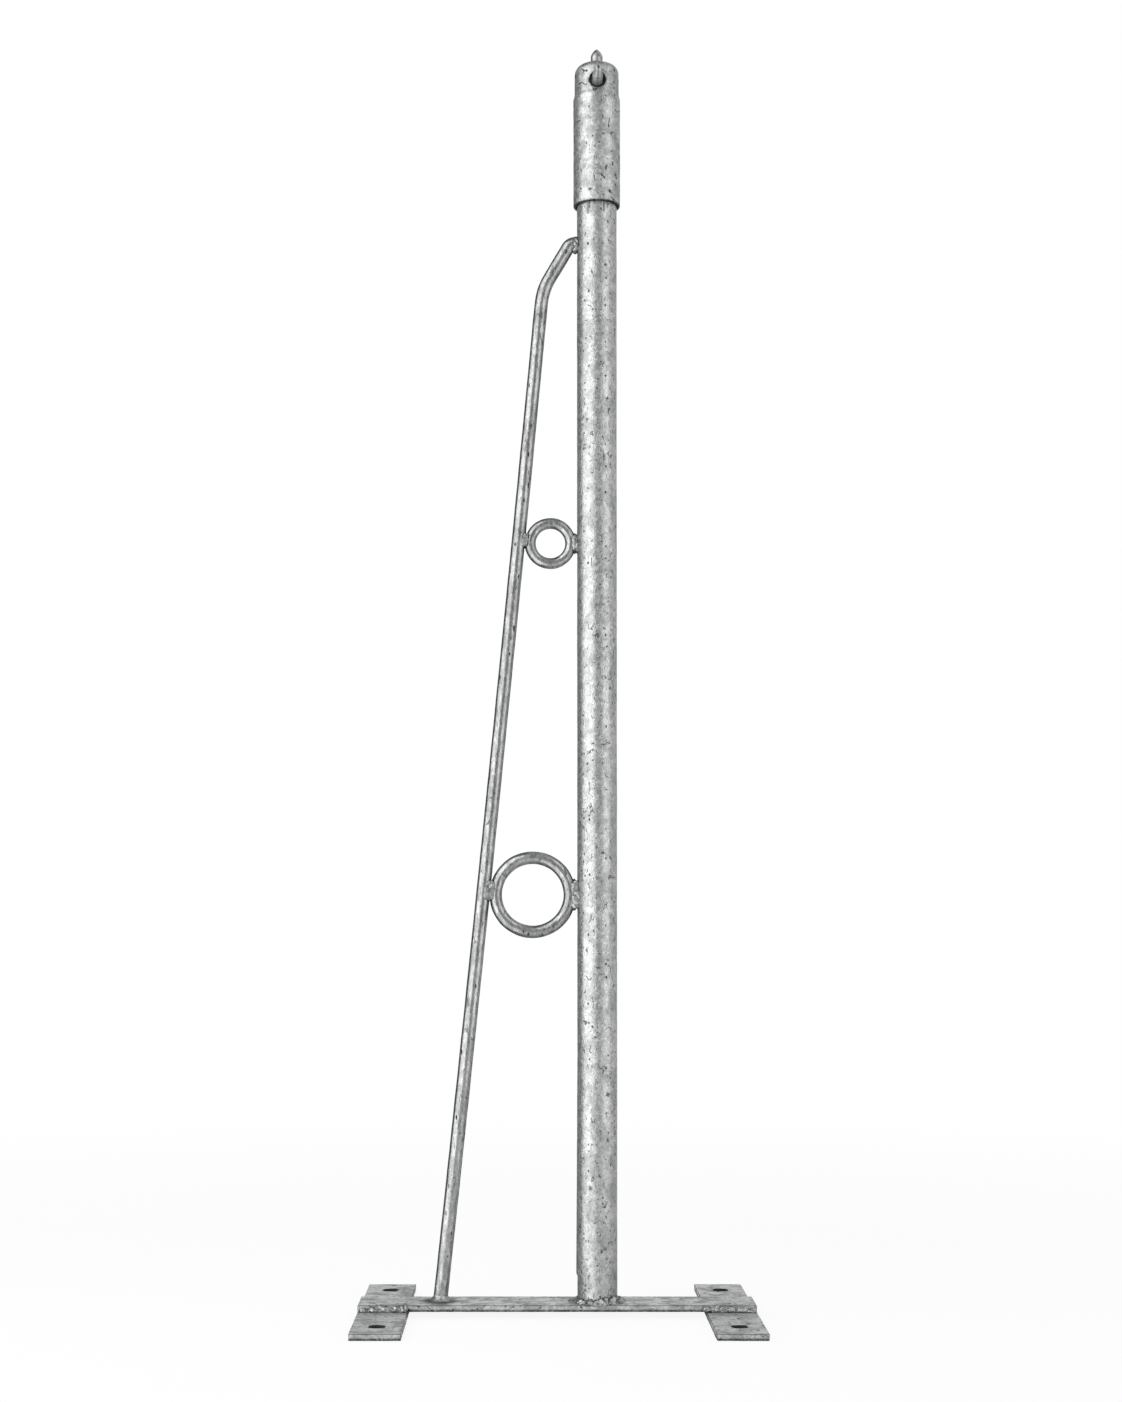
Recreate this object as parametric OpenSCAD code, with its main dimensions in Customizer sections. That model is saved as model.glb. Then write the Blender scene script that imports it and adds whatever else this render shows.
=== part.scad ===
// Braced steel mast: a round tube stands on a flat bar across two bolted foot plates.
// A bent round bar braces it, two rings fill the bay between them, and a slip-on head
// with a pin on top and a cross spindle closes the tube.
// +Z is up, the front is -Y, and the origin is on the floor between the four bolt holes.

/* [Foot] */
// Length of the base bar, along X
bar_length = 595; // [540:5:800]
// Width of the base bar, along Y
bar_width = 75; // [72:1:120]
// Thickness of the base bar
bar_thick = 10; // [6:1:20]
// Width of each cross plate, along X
plate_width = 75; // [50:1:100]
// Depth of each cross plate, along Y
plate_depth = 400; // [340:5:600]
// Thickness of each cross plate
plate_thick = 10; // [6:1:20]
// Diameter of the holes for the anchor bolts
bolt_hole = 25; // [10:1:30]
// Distance from the end of a cross plate to the centre of its hole
bolt_edge = 53; // [30:1:70]
// Radius along the rolled edges of the bar and the plates
rolled_edge = 1; // [0.4:0.1:2]

/* [Tube] */
// Outer diameter of the tube
tube_od = 60.3; // [48:0.1:73]
// Wall of the tube
tube_wall = 3.6; // [2:0.1:6]
// Length of the tube, from the base bar to the plug in the head
tube_length = 1818; // [1500:1:2400]
// Distance of the tube's axis from the middle of the base bar
tube_offset = 61; // [0:1:120]

/* [Brace] */
// Diameter of the brace's round bar
brace_d = 20; // [14:0.5:24]
// Distance from the side of the tube to the foot of the brace
brace_reach = 206.4; // [170:0.1:250]
// Distance from the side of the tube to the long bend
bend_reach = 52.3; // [42:0.1:64]
// Distance from the side of the tube to the corner of the tight bend
hook_reach = 10; // [9.4:0.1:18]
// Distance from the rim of the sleeve down to the upper end of the brace
brace_drop = 56; // [40:1:200]
// Height of the upper end of the brace above the long bend
bend_rise = 71; // [56:1:84]
// Radius of the long bend, at the middle of the bar
bend_radius = 95; // [25:1:110]
// Radius of the tight bend at the tube, at the middle of the bar
hook_radius = 13; // [13:0.5:18]

/* [Rings] */
// Outer diameter of the large ring
large_ring_od = 131; // [107:0.5:140]
// Diameter of the large ring's round bar
large_ring_bar = 19; // [10:0.5:20]
// Outer diameter of the small ring
small_ring_od = 77.5; // [65:0.5:90]
// Diameter of the small ring's round bar
small_ring_bar = 16.5; // [8:0.5:18]
// Gap that the welds bridge between a ring and its neighbours
ring_gap = 1.7; // [1:0.1:4]

/* [Head] */
// Clearance between the sleeve and the tube, on the radius
sleeve_play = 1.6; // [0.5:0.1:2.2]
// Wall of the sleeve
sleeve_wall = 3.75; // [3:0.05:6]
// Length of the sleeve
sleeve_length = 162; // [100:1:260]
// Wall of the cap
cap_wall = 3; // [2.4:0.1:4]
// Height of the cap's straight side
cap_side = 39; // [36:1:60]
// Height of the cap's dome
dome_height = 17.5; // [15:0.5:24]
// Radius where the cap's side turns into the dome
dome_corner = 14; // [4:0.5:14.5]
// Clearance between the cap and the plug inside it, on the radius
plug_play = 0.35; // [0.1:0.05:0.5]
// Thickness of metal above the plug at the edge of the dome
cap_seat = 4; // [3:0.5:6]
// Depth of the plug's spigot inside the tube
spigot_depth = 30; // [15:1:60]

/* [Pin and spindle] */
// Diameter of the pin on top of the cap
pin_d = 18; // [12:0.5:24]
// Height of the pin above the top of the dome
pin_height = 23; // [22:0.5:40]
// Length of the pin's pointed tip
pin_tip = 11; // [9:0.5:16]
// Radius of the blunt end of the tip
pin_blunt = 1.6; // [1:0.1:3]
// Diameter of the spigot that the pin stands on
pin_spigot = 16; // [10:0.5:17]
// Metal left in the plug above the spindle
spindle_cover = 4; // [1:0.5:4]
// Diameter of the hole in the cap's front
spindle_hole = 25; // [23:0.5:28]
// Diameter of the spindle's stub
stub_d = 20; // [16:0.5:22]
// Length of stub that shows in front of the cap
stub_show = 2; // [1:0.5:8]
// Length of the taper in front of the stub
spindle_taper = 12.5; // [5:0.5:14]
// Diameter of the small end of the taper
taper_end = 15; // [13:0.5:16]
// Width of the groove behind the nose
groove_width = 2; // [1:0.5:4]
// Depth of the groove behind the nose, below the nose
groove_depth = 1.2; // [0.5:0.1:2]
// Diameter of the spindle's nose
nose_d = 12.5; // [9:0.5:13]
// Length of the straight part of the nose
nose_length = 21; // [10:0.5:40]

/* [Hidden] */
$fn = 120;
// Overshoot of a cutting solid past the face that it cuts
over = 1;
// Size of a cutting block that is larger than the whole part
block = 5000;

plate_x = (bar_length - plate_width) / 2;
bolt_y = plate_depth / 2 - bolt_edge;
bar_top = plate_thick + bar_thick;

tube_r = tube_od / 2;
tube_side = tube_offset - tube_r;
tube_bore = tube_od - 2 * tube_wall;
tube_top = bar_top + tube_length;
sleeve_rim = tube_top - sleeve_length;
sleeve_bore = tube_od + 2 * sleeve_play;
sleeve_od = sleeve_bore + 2 * sleeve_wall;

cap_bore = tube_od + 2 * plug_play;
cap_r = cap_bore / 2 + cap_wall;
spring_line = tube_top + cap_side;
dome_top = spring_line + dome_height;
// The crown arc meets the corner arc in a common tangent
corner_x = cap_r - dome_corner;
crown_r = (corner_x * corner_x + dome_height * dome_height - dome_corner * dome_corner)
    / (2 * (dome_height - dome_corner));
crown_centre = dome_height - crown_r;
plug_top = spring_line - cap_seat;
spindle_z = plug_top - spindle_cover - stub_d / 2;
// Depth of the socket that the pin's spigot fills, and height of its shoulder above the dome
pin_socket = 5;
pin_shoulder = 3;
pin_weld = 3;
// Fit between the spigot and the bore of the tube, on the radius
spigot_play = 0.3;
// Distance behind the axis where the spindle's stub ends
stub_back = 12;
// Bevelled seam on the step from the sleeve's top face to the cap's side
seam_leg = sleeve_od / 2 - cap_r;
seam_rise = 5;

// Gap between the brace's end and the curve of the tube
seat_gap = 0.05;
brace_r = brace_d / 2;
brace_top = sleeve_rim - brace_drop;
brace_foot = [tube_side - brace_reach, bar_top];
brace_bend = [tube_side - bend_reach, brace_top - bend_rise];
brace_hook = [tube_side - hook_reach, brace_top];
brace_end = [tube_offset, brace_top];
brace_lean = atan2(brace_bend.x - brace_foot.x, brace_bend.y - brace_foot.y);
bend_lean = atan2(brace_hook.x - brace_bend.x, bend_rise);
// The tight bend leaves a short straight stub in front of the tube
end_stub = 1;
hook_bend = min(hook_radius, (hook_reach - end_stub) / tan((90 - bend_lean) / 2));

// Stations along the brace, each a point of its axis and the lean there: foot, bends and end
brace_sides = 32;
function bend_stations(corner, radius, lean_in, lean_out, steps) =
    let (
        reach = radius * tan((lean_out - lean_in) / 2),
        centre = corner - reach * [sin(lean_in), cos(lean_in)]
            + radius * [cos(lean_in), -sin(lean_in)]
    )
        [for (k = [0 : steps])
            let (lean = lean_in + (lean_out - lean_in) * k / steps)
                [centre + radius * [-cos(lean), sin(lean)], lean]];
brace_stations = concat(
    bend_stations(brace_bend, bend_radius, brace_lean, bend_lean, 5),
    bend_stations(brace_hook, hook_bend, bend_lean, 90, 8)
);

// Point on the bar's skin at a station, at an angle round the bar
function skin_point(station, turn) =
    let (out = brace_r * cos(turn), lean = station[1])
        [station[0].x + out * cos(lean), brace_r * sin(turn), station[0].y - out * sin(lean)];

// The foot is cut level on the base bar, and the far end follows the tube at a small gap
function foot_point(turn) =
    let (x = brace_foot.x + brace_r * cos(turn) / cos(brace_lean))
        [x, brace_r * sin(turn), bar_top];
function end_point(turn) =
    let (y = brace_r * sin(turn))
        [tube_offset - sqrt(tube_r * tube_r - y * y) - seat_gap, y, brace_top - brace_r * cos(turn)];
function ring_of(station) =
    [for (i = [0 : brace_sides - 1]) skin_point(station, i * 360 / brace_sides)];
brace_rings = concat(
    [[for (i = [0 : brace_sides - 1]) foot_point(i * 360 / brace_sides)]],
    [for (station = brace_stations) ring_of(station)],
    [[for (i = [0 : brace_sides - 1]) end_point(i * 360 / brace_sides)]]
);

// Distance from the brace's axis to a ring's centre, and the height where that ring just fits
function ring_centre_x(od) = tube_side - ring_gap - od / 2;
function ring_centre_z(od) = bar_top
    + ((ring_centre_x(od) - brace_foot.x) * cos(brace_lean) - od / 2 - ring_gap - brace_r)
    / sin(brace_lean);

// Radius of a weld bead that swells and thins along its run, and the most that it swells
function ripple(size, i) = size * (1 + 0.07 * sin(i * 137) + 0.05 * sin(i * 61));
ripple_limit = 1.12;
// Distance from the metal to the middle of a bead laid against it
weld_stand_off = 0.8;

zinc = [0.66, 0.68, 0.69];
zinc_dark = [0.52, 0.54, 0.55];
weld_grey = [0.45, 0.46, 0.47];

// ---- plain solids shared by a piece and its neighbours ----

module tube_solid() {
    translate([tube_offset, 0, bar_top])
        cylinder(d = tube_od, h = tube_length);
}

// Section of a rolled flat bar: a rectangle with a small radius on each corner
module flat_section(width, thick) {
    inner = [width - 2 * rolled_edge, thick - 2 * rolled_edge];
    square([width, inner.y], center = true);
    square([inner.x, thick], center = true);
    for (x = [-1, 1], y = [-1, 1])
        translate([x * inner.x, y * inner.y] / 2)
            circle(r = rolled_edge);
}

module base_bar_solid() {
    translate([-bar_length / 2, 0, plate_thick + bar_thick / 2])
        rotate([90, 0, 90])
            linear_extrude(bar_length)
                flat_section(bar_width, bar_thick);
}

// Everything below the top face of the base bar
module below_bar_top() {
    translate([-block / 2, -block / 2, bar_top - block])
        cube(block);
}

// Everything past the two long edges of the base bar
module past_bar_edges() {
    for (side = [-1, 1])
        translate([-block / 2, side * (bar_width + block) / 2 - block / 2, -block / 2])
            cube(block);
}

// Round bar between two points of the XZ plane
module rod(from, to, d) {
    step = to - from;
    translate([from.x, 0, from.y])
        rotate([0, atan2(step.x, step.y), 0])
            cylinder(d = d, h = norm(step));
}

// The two stretches of the brace that its welds lie against
module brace_shank() {
    along = [sin(brace_lean), cos(brace_lean)];
    rod(brace_foot - brace_d * along, brace_bend, brace_d);
}

module brace_end_shank() {
    rod(brace_end - [tube_r + brace_d, 0], brace_end, brace_d);
}

module ring_solid(od, bar) {
    translate([ring_centre_x(od), 0, ring_centre_z(od)])
        rotate([90, 0, 0])
            rotate_extrude()
                translate([(od - bar) / 2, 0])
                    circle(d = bar);
}

// ---- foot ----

module base_bar() {
    color(zinc)
        base_bar_solid();
}

module cross_plate(side) {
    color(zinc)
        difference() {
            translate([side * plate_x, plate_depth / 2, plate_thick / 2])
                rotate([90, 0, 0])
                    linear_extrude(plate_depth)
                        flat_section(plate_width, plate_thick);
            for (end = [-1, 1])
                translate([side * plate_x, end * bolt_y, -over])
                    cylinder(d = bolt_hole, h = plate_thick + 2 * over);
        }
}

// ---- tube, brace and rings ----

module pole_tube() {
    color(zinc)
        difference() {
            tube_solid();
            translate([tube_offset, 0, bar_top - over])
                cylinder(d = tube_bore, h = tube_length + 2 * over);
        }
}

// A solid skin over rings of points. The far end is closed by strips that run up and down,
// because points at one height across the bar lie on the curve of the tube
module brace_rod() {
    sides = brace_sides;
    last = len(brace_rings) - 1;
    color(zinc_dark)
        polyhedron(
            points = [for (ring = brace_rings) each ring],
            faces = [
                [for (i = [0 : sides - 1]) i],
                for (k = [0 : last - 1], i = [0 : sides - 1])
                    let (j = (i + 1) % sides)
                        [k * sides + i, (k + 1) * sides + i, (k + 1) * sides + j, k * sides + j],
                for (i = [0 : sides / 2 - 1])
                    let (
                        m = last * sides,
                        a = m + (i + sides * 3 / 4) % sides,
                        b = m + (i + 1 + sides * 3 / 4) % sides,
                        c = m + (sides * 3 / 4 - i - 1) % sides,
                        d = m + (sides * 3 / 4 - i) % sides
                    )
                        i == 0 ? [b, a, c] : i == sides / 2 - 1 ? [b, a, d] : [b, a, d, c]
            ],
            convexity = 4
        );
}

module large_ring() {
    color(zinc_dark)
        ring_solid(large_ring_od, large_ring_bar);
}

module small_ring() {
    color(zinc_dark)
        ring_solid(small_ring_od, small_ring_bar);
}

// ---- head ----

// The plug closes the tube, carries the cap and holds the spindle
module head_plug() {
    color(zinc_dark)
        translate([tube_offset, 0, 0])
            difference() {
                union() {
                    translate([0, 0, tube_top])
                        cylinder(d = tube_od, h = plug_top - tube_top);
                    translate([0, 0, tube_top - spigot_depth])
                        cylinder(d = tube_bore - 2 * spigot_play, h = spigot_depth);
                }
                spindle_bore();
            }
}

module spindle_bore() {
    translate([0, stub_back, spindle_z])
        rotate([90, 0, 0])
            cylinder(d = stub_d, h = 2 * cap_r);
}

module head_sleeve() {
    color(zinc)
        translate([tube_offset, 0, sleeve_rim])
            difference() {
                cylinder(d = sleeve_od, h = sleeve_length);
                translate([0, 0, -over])
                    cylinder(d = sleeve_bore, h = sleeve_length + 2 * over);
            }
}

// Half section of the cap: straight side, rounded corner and shallow crown
module cap_profile() {
    far = 4 * cap_r;
    square([cap_r, cap_side]);
    translate([0, cap_side]) {
        translate([corner_x, 0])
            circle(r = dome_corner);
        intersection() {
            translate([0, crown_centre])
                circle(r = crown_r, $fn = 240);
            polygon([
                [0, 0],
                [corner_x, 0],
                [corner_x, 0] + far * [corner_x, -crown_centre] / norm([corner_x, crown_centre]),
                [0, far]
            ]);
        }
    }
}

module head_cap() {
    color(zinc)
        translate([tube_offset, 0, tube_top])
            difference() {
                rotate_extrude()
                    cap_profile();
                translate([0, 0, -over])
                    cylinder(d = cap_bore, h = plug_top - tube_top + over);
                translate([0, 0, spindle_z - tube_top])
                    rotate([90, 0, 0])
                        cylinder(d = spindle_hole, h = 2 * cap_r);
                translate([0, 0, dome_top - pin_socket - tube_top])
                    cylinder(d = pin_spigot, h = dome_height);
            }
}

// Half section of the pin's tip: an arc that leaves the shank straight up and ends blunt
module tip_section() {
    r = pin_d / 2;
    // Half section of the full arc would end in a point at this height
    point = pin_tip + pin_blunt / 2;
    arc = (r * r + point * point) / (2 * r);
    last = asin((pin_tip - pin_blunt / 2) / arc);
    polygon([
        [0, 0],
        for (k = [0 : 8]) [r - arc + arc * cos(last * k / 8), arc * sin(last * k / 8)],
        [0, pin_tip]
    ]);
}

module top_pin() {
    shank = pin_height - pin_shoulder - pin_tip;
    color(zinc)
        translate([tube_offset, 0, dome_top - pin_socket]) {
            cylinder(d = pin_spigot, h = pin_socket + pin_shoulder);
            translate([0, 0, pin_socket + pin_shoulder])
                cylinder(d = pin_d, h = shank);
            translate([0, 0, pin_socket + pin_shoulder + shank])
                rotate_extrude()
                    tip_section();
        }
}

// The spindle lies in the plug and passes forward through the cap: stub, taper, groove and nose
module lock_spindle() {
    stub = stub_back + cap_r + stub_show;
    groove = stub + spindle_taper;
    nose = groove + groove_width;
    color(zinc_dark)
        translate([tube_offset, stub_back, spindle_z])
            rotate([90, 0, 0]) {
                cylinder(d = stub_d, h = stub);
                translate([0, 0, stub])
                    cylinder(d1 = stub_d, d2 = taper_end, h = spindle_taper);
                translate([0, 0, groove])
                    cylinder(d = nose_d - 2 * groove_depth, h = groove_width);
                translate([0, 0, nose])
                    cylinder(d = nose_d, h = nose_length);
                translate([0, 0, nose + nose_length])
                    sphere(d = nose_d);
            }
}

// ---- welds ----

// Bead laid round a foot on the base bar, wider along the bar than across it
module foot_bead(centre, radius, leg_x, leg_y, count) {
    for (i = [0 : count - 1]) {
        turn = (i + 0.3) * 360 / count;
        leg = leg_y + (leg_x - leg_y) * pow(cos(turn), 2);
        translate([centre.x + radius * cos(turn), radius * sin(turn), centre.y + 0.6])
            rotate([0, 90, turn])
                sphere(r = ripple(leg, i), $fn = 36);
    }
}

module pole_foot_weld() {
    color(weld_grey)
        difference() {
            foot_bead([tube_offset, bar_top], tube_r + weld_stand_off, 8.7, 5.8, 24);
            tube_solid();
            below_bar_top();
            past_bar_edges();
        }
}

module brace_foot_weld() {
    color(weld_grey)
        difference() {
            foot_bead(brace_foot, brace_r + weld_stand_off, 7.5, 6.5, 12);
            brace_shank();
            below_bar_top();
        }
}

// Bead round the upper end of the brace, following the curve of the tube
module brace_head_weld() {
    bead = 4;
    bead_pitch = 6.8;
    run = brace_r + weld_stand_off;
    count = round(2 * PI * run / bead_pitch);
    color(weld_grey)
        difference() {
            for (i = [0 : count - 1]) {
                across = run * sin((i + 0.25) * 360 / count);
                up = run * cos((i + 0.25) * 360 / count);
                translate([
                    tube_offset - sqrt(tube_r * tube_r - across * across) - weld_stand_off,
                    across,
                    brace_top + up
                ])
                    rotate([0, 90, 0])
                        sphere(r = ripple(bead, i), $fn = 36);
            }
            tube_solid();
            brace_end_shank();
        }
}

// Two short upright beads, in front and behind, that bridge the gap beside a ring
module ring_bead(x, z, lean, size, steps) {
    pitch = size * 0.6;
    depth = size * 0.6;
    translate([x, 0, z])
        rotate([0, lean, 0])
            for (face = [-1, 1], i = [-steps : steps])
                translate([0, face * depth, i * pitch])
                    sphere(r = ripple(size, i + steps + face) * (1 - 0.1 * abs(i)), $fn = 36);
}

module ring_pole_weld(od, bar, size, steps) {
    color(weld_grey)
        difference() {
            ring_bead(tube_side - ring_gap / 2, ring_centre_z(od), 0, size, steps);
            tube_solid();
            ring_solid(od, bar);
        }
}

module ring_brace_weld(od, bar, size, steps) {
    reach = (od + ring_gap) / 2;
    color(weld_grey)
        difference() {
            ring_bead(
                ring_centre_x(od) - reach * cos(brace_lean),
                ring_centre_z(od) + reach * sin(brace_lean),
                brace_lean, size, steps
            );
            brace_shank();
            ring_solid(od, bar);
        }
}

// Bead along one long edge of the base bar, over one cross plate
module plate_weld(side, face) {
    bead = 4.6;
    count = 13;
    inset = bead * ripple_limit + rolled_edge;
    pitch = (plate_width - 2 * inset) / (count - 1);
    color(weld_grey)
        difference() {
            for (i = [0 : count - 1])
                translate([
                    side * plate_x - plate_width / 2 + inset + i * pitch,
                    face * bar_width / 2,
                    plate_thick
                ])
                    rotate([90, 0, 0])
                        sphere(r = ripple(bead, i + 3 * side + face), $fn = 36);
            base_bar_solid();
            translate([-block / 2, -block / 2, plate_thick - block])
                cube(block);
        }
}

module cap_seam_weld() {
    color(weld_grey)
        translate([tube_offset, 0, tube_top])
            rotate_extrude()
                polygon([[cap_r, 0], [cap_r + seam_leg, 0], [cap_r, seam_rise]]);
}

module top_pin_weld() {
    color(weld_grey)
        translate([tube_offset, 0, tube_top])
            rotate_extrude()
                difference() {
                    translate([pin_d / 2, dome_top - tube_top - pin_shoulder / 6])
                        circle(r = pin_weld);
                    cap_profile();
                    square([pin_spigot / 2, dome_top - tube_top + 2 * pin_weld]);
                }
}

base_bar();
cross_plate(-1);  // cross_plate_left
cross_plate(1);  // cross_plate_right
pole_tube();
brace_rod();
large_ring();
small_ring();
head_plug();
head_sleeve();
head_cap();
top_pin();
lock_spindle();
pole_foot_weld();
brace_foot_weld();
brace_head_weld();
ring_brace_weld(large_ring_od, large_ring_bar, 6.5, 3);  // large_ring_brace_weld
ring_pole_weld(large_ring_od, large_ring_bar, 6.5, 4);  // large_ring_pole_weld
ring_brace_weld(small_ring_od, small_ring_bar, 5.5, 2);  // small_ring_brace_weld
ring_pole_weld(small_ring_od, small_ring_bar, 5.5, 3);  // small_ring_pole_weld
plate_weld(-1, -1);  // left_front_weld
plate_weld(-1, 1);  // left_rear_weld
plate_weld(1, -1);  // right_front_weld
plate_weld(1, 1);  // right_rear_weld
cap_seam_weld();
top_pin_weld();
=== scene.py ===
import random
from math import acos, atan2, copysign, cos, degrees, dist, exp
from math import hypot, pi, radians, remainder, sin, sqrt, tan

import bmesh
import bpy
from mathutils import Matrix, Vector, noise


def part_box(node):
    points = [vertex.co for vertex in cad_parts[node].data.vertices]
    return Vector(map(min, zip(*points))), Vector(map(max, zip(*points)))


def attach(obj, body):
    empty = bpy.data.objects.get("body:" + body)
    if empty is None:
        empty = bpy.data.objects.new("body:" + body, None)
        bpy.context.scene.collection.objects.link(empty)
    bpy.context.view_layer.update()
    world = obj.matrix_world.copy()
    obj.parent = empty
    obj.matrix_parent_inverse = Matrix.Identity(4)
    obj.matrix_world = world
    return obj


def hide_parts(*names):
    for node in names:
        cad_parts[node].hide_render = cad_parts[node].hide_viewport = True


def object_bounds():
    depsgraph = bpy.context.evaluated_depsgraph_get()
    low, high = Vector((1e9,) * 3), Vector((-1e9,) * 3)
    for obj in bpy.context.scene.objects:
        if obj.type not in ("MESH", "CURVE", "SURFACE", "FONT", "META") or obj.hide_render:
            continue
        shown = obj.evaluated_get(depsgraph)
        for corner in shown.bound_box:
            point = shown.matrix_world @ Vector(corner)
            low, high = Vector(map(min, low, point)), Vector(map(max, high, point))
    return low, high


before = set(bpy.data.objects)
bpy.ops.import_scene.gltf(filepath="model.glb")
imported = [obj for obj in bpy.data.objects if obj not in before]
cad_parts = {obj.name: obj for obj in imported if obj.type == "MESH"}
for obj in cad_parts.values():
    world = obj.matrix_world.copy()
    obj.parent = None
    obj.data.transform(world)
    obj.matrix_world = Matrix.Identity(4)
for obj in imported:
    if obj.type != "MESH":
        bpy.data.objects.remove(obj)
cadBox = [list(corner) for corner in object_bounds()]
print("mast frame loaded:", len(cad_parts), "nodes")

shotSettings = {
    "place": (-0.0455, -3.1227, 0.5942),
    "tilt": 1.0,  # degrees upward
    "lens": 53.08, "shift": (0.0245, 0.13),
}


def linkObject(name, data):
    thing = bpy.data.objects.new(name, data)
    bpy.context.scene.collection.objects.link(thing)
    return thing


def makeCamera(own):
    camera = linkObject("yardCamera", bpy.data.cameras.new("yardCamera"))
    camera.data.sensor_width = 36
    camera.data.lens = own["lens"]
    camera.data.shift_x, camera.data.shift_y = own["shift"]
    camera.location = own["place"]
    camera.rotation_euler = (radians(90 + own["tilt"]), 0, 0)
    bpy.context.scene.camera = camera


makeCamera(shotSettings)
bpy.context.scene.view_settings.view_transform = "Standard"

openTree = None  # the node tree that new nodes go into


def startTree(tree):
    global openTree
    openTree = tree
    tree.nodes.clear()
    return tree


# Adds a node, a shader node by its short name; inputs are plain values or other nodes' outputs
def addNode(kind, inputs=None, **traits):
    node = openTree.nodes.new(kind if "Node" in kind else "ShaderNode" + kind)
    for name, value in traits.items():
        setattr(node, name, value)
    for key, value in (inputs or {}).items():
        if isinstance(value, bpy.types.NodeSocket):
            openTree.links.new(value, node.inputs[key])
        else:
            node.inputs[key].default_value = value
    return node.outputs


def maths(operation, first, second=0.0, third=0.0, clamp=False):
    return addNode("Math", {0: first, 1: second, 2: third}, operation=operation, use_clamp=clamp)[0]


def times(first, second):
    return maths("MULTIPLY", first, second)


def vectorMaths(operation, first, second):
    return addNode("VectorMath", {0: first, 1: second}, operation=operation)[0]


def scaled(vector, amount):
    return addNode("VectorMath", {0: vector, "Scale": amount}, operation="SCALE")[0]


# Maps a value from low..high to start..end, and stops at both ends
def spread(value, low, high, start=0.0, end=1.0, kind="SMOOTHSTEP"):
    return addNode("MapRange", {"Value": value, "From Min": low, "From Max": high, "To Min": start,
            "To Max": end}, interpolation_type=kind)[0]


def ramp(value, start, end):
    return spread(value, 0.0, 1.0, start, end, "LINEAR")


def mixColours(amount, first, second):
    return addNode("Mix", {0: amount, 6: first, 7: second}, data_type="RGBA")[2]


def noiseAt(place, scale, detail, roughness=0.5):
    return addNode("TexNoise", {"Vector": place, "Scale": scale, "Detail": detail,
            "Roughness": roughness})


# A new material and the object's own coordinates, with its empty tree open
def newMaterial(name):
    material = bpy.data.materials.new(name)
    material.use_nodes = True
    startTree(material.node_tree)
    return material, addNode("TexCoord")["Object"]


def whiteGlow(level, kind="Emission"):
    return addNode(kind, {"Color": (1, 1, 1, 1), "Strength": level})[0]


# 1 for rays that meet the white backdrop, 0 for the soft light on the object
def backdropRays(mirrored=True):
    path = addNode("LightPath")
    seen = maths("ADD", path["Is Camera Ray"], path["Is Transmission Ray"])
    return maths("ADD", seen, path["Is Glossy Ray"], clamp=True) if mirrored else seen


roomSettings = {
    "fill": 0.62,  # level of the room as plain surfaces see it
    "floorRadius": 14, "floorDrop": 0.0005, "floorPaint": (0.93, 0.93, 0.93, 1),
    "floorFade": (1.0, 3.2, 0.89),  # it turns plain white between these radii, from this share
}


def makeWorld(own):
    world = bpy.data.worlds.new("paleStudio")
    bpy.context.scene.world = world
    world.use_nodes = True
    startTree(world.node_tree)
    room = whiteGlow(own["fill"], "Background")
    white = whiteGlow(1.0, "Background")
    mix = addNode("MixShader", {0: backdropRays(), 1: room, 2: white})
    addNode("OutputWorld", {0: mix[0]})


# Points of a circle round centre, from the first axis towards the second
def circleAt(centre, radius, sides, first=Vector((1, 0, 0)), second=Vector((0, 1, 0))):
    turns = [2 * pi * i / sides for i in range(sides)]
    return [centre + (first * cos(turn) + second * sin(turn)) * radius for turn in turns]


def linkMesh(name, vertices, faces, edges=()):
    mesh = bpy.data.meshes.new(name)
    mesh.from_pydata([tuple(v) for v in vertices], edges, faces)
    return linkObject(name, mesh)


def makeFloor(own, sides=64):
    material, place = newMaterial("paleFloor")
    near, far, share = own["floorFade"]
    away = addNode("VectorMath", {0: place}, operation="LENGTH")["Value"]
    fade = spread(away, near, far, share, 1.0, "LINEAR")
    amount = times(fade, backdropRays(mirrored=False))
    paint = addNode("BsdfDiffuse", {"Color": own["floorPaint"]})[0]
    mix = addNode("MixShader", {0: amount, 1: paint, 2: whiteGlow(1.0)})
    addNode("OutputMaterial", {0: mix[0]})
    floor = linkMesh("floor", circleAt(Vector(), own["floorRadius"], sides), [list(range(sides))])
    floor.location.z = -own["floorDrop"]
    floor.visible_glossy = False
    floor.data.materials.append(material)


# Cards and skirts are there only for the metal to mirror
def onlyMirrored(thing, material):
    thing.visible_camera = False
    thing.visible_diffuse = False
    thing.visible_shadow = False
    thing.data.materials.append(material)


cardSettings = {
    "front": (0.72, 0.42),  # level in front of the mast: below the camera, and beside it
    "rear": (0.20, 0.60),  # and behind it: on its left, and on its right
    "blend": {"X": (-1.0, 1.0), "Y": (-2.6, 0.2), "Z": (-0.2, 0.2)},  # where one level turns into another
    "radius": 4.3,
    "lid": 1.05,  # the discs above and below overlap the wall
    "reach": (-1.7, 5.4),  # the mast's foot mirrors them through the floor
    "backGap": 13,  # half the opening behind the mast, in degrees
    "steps": 48,
}


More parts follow.
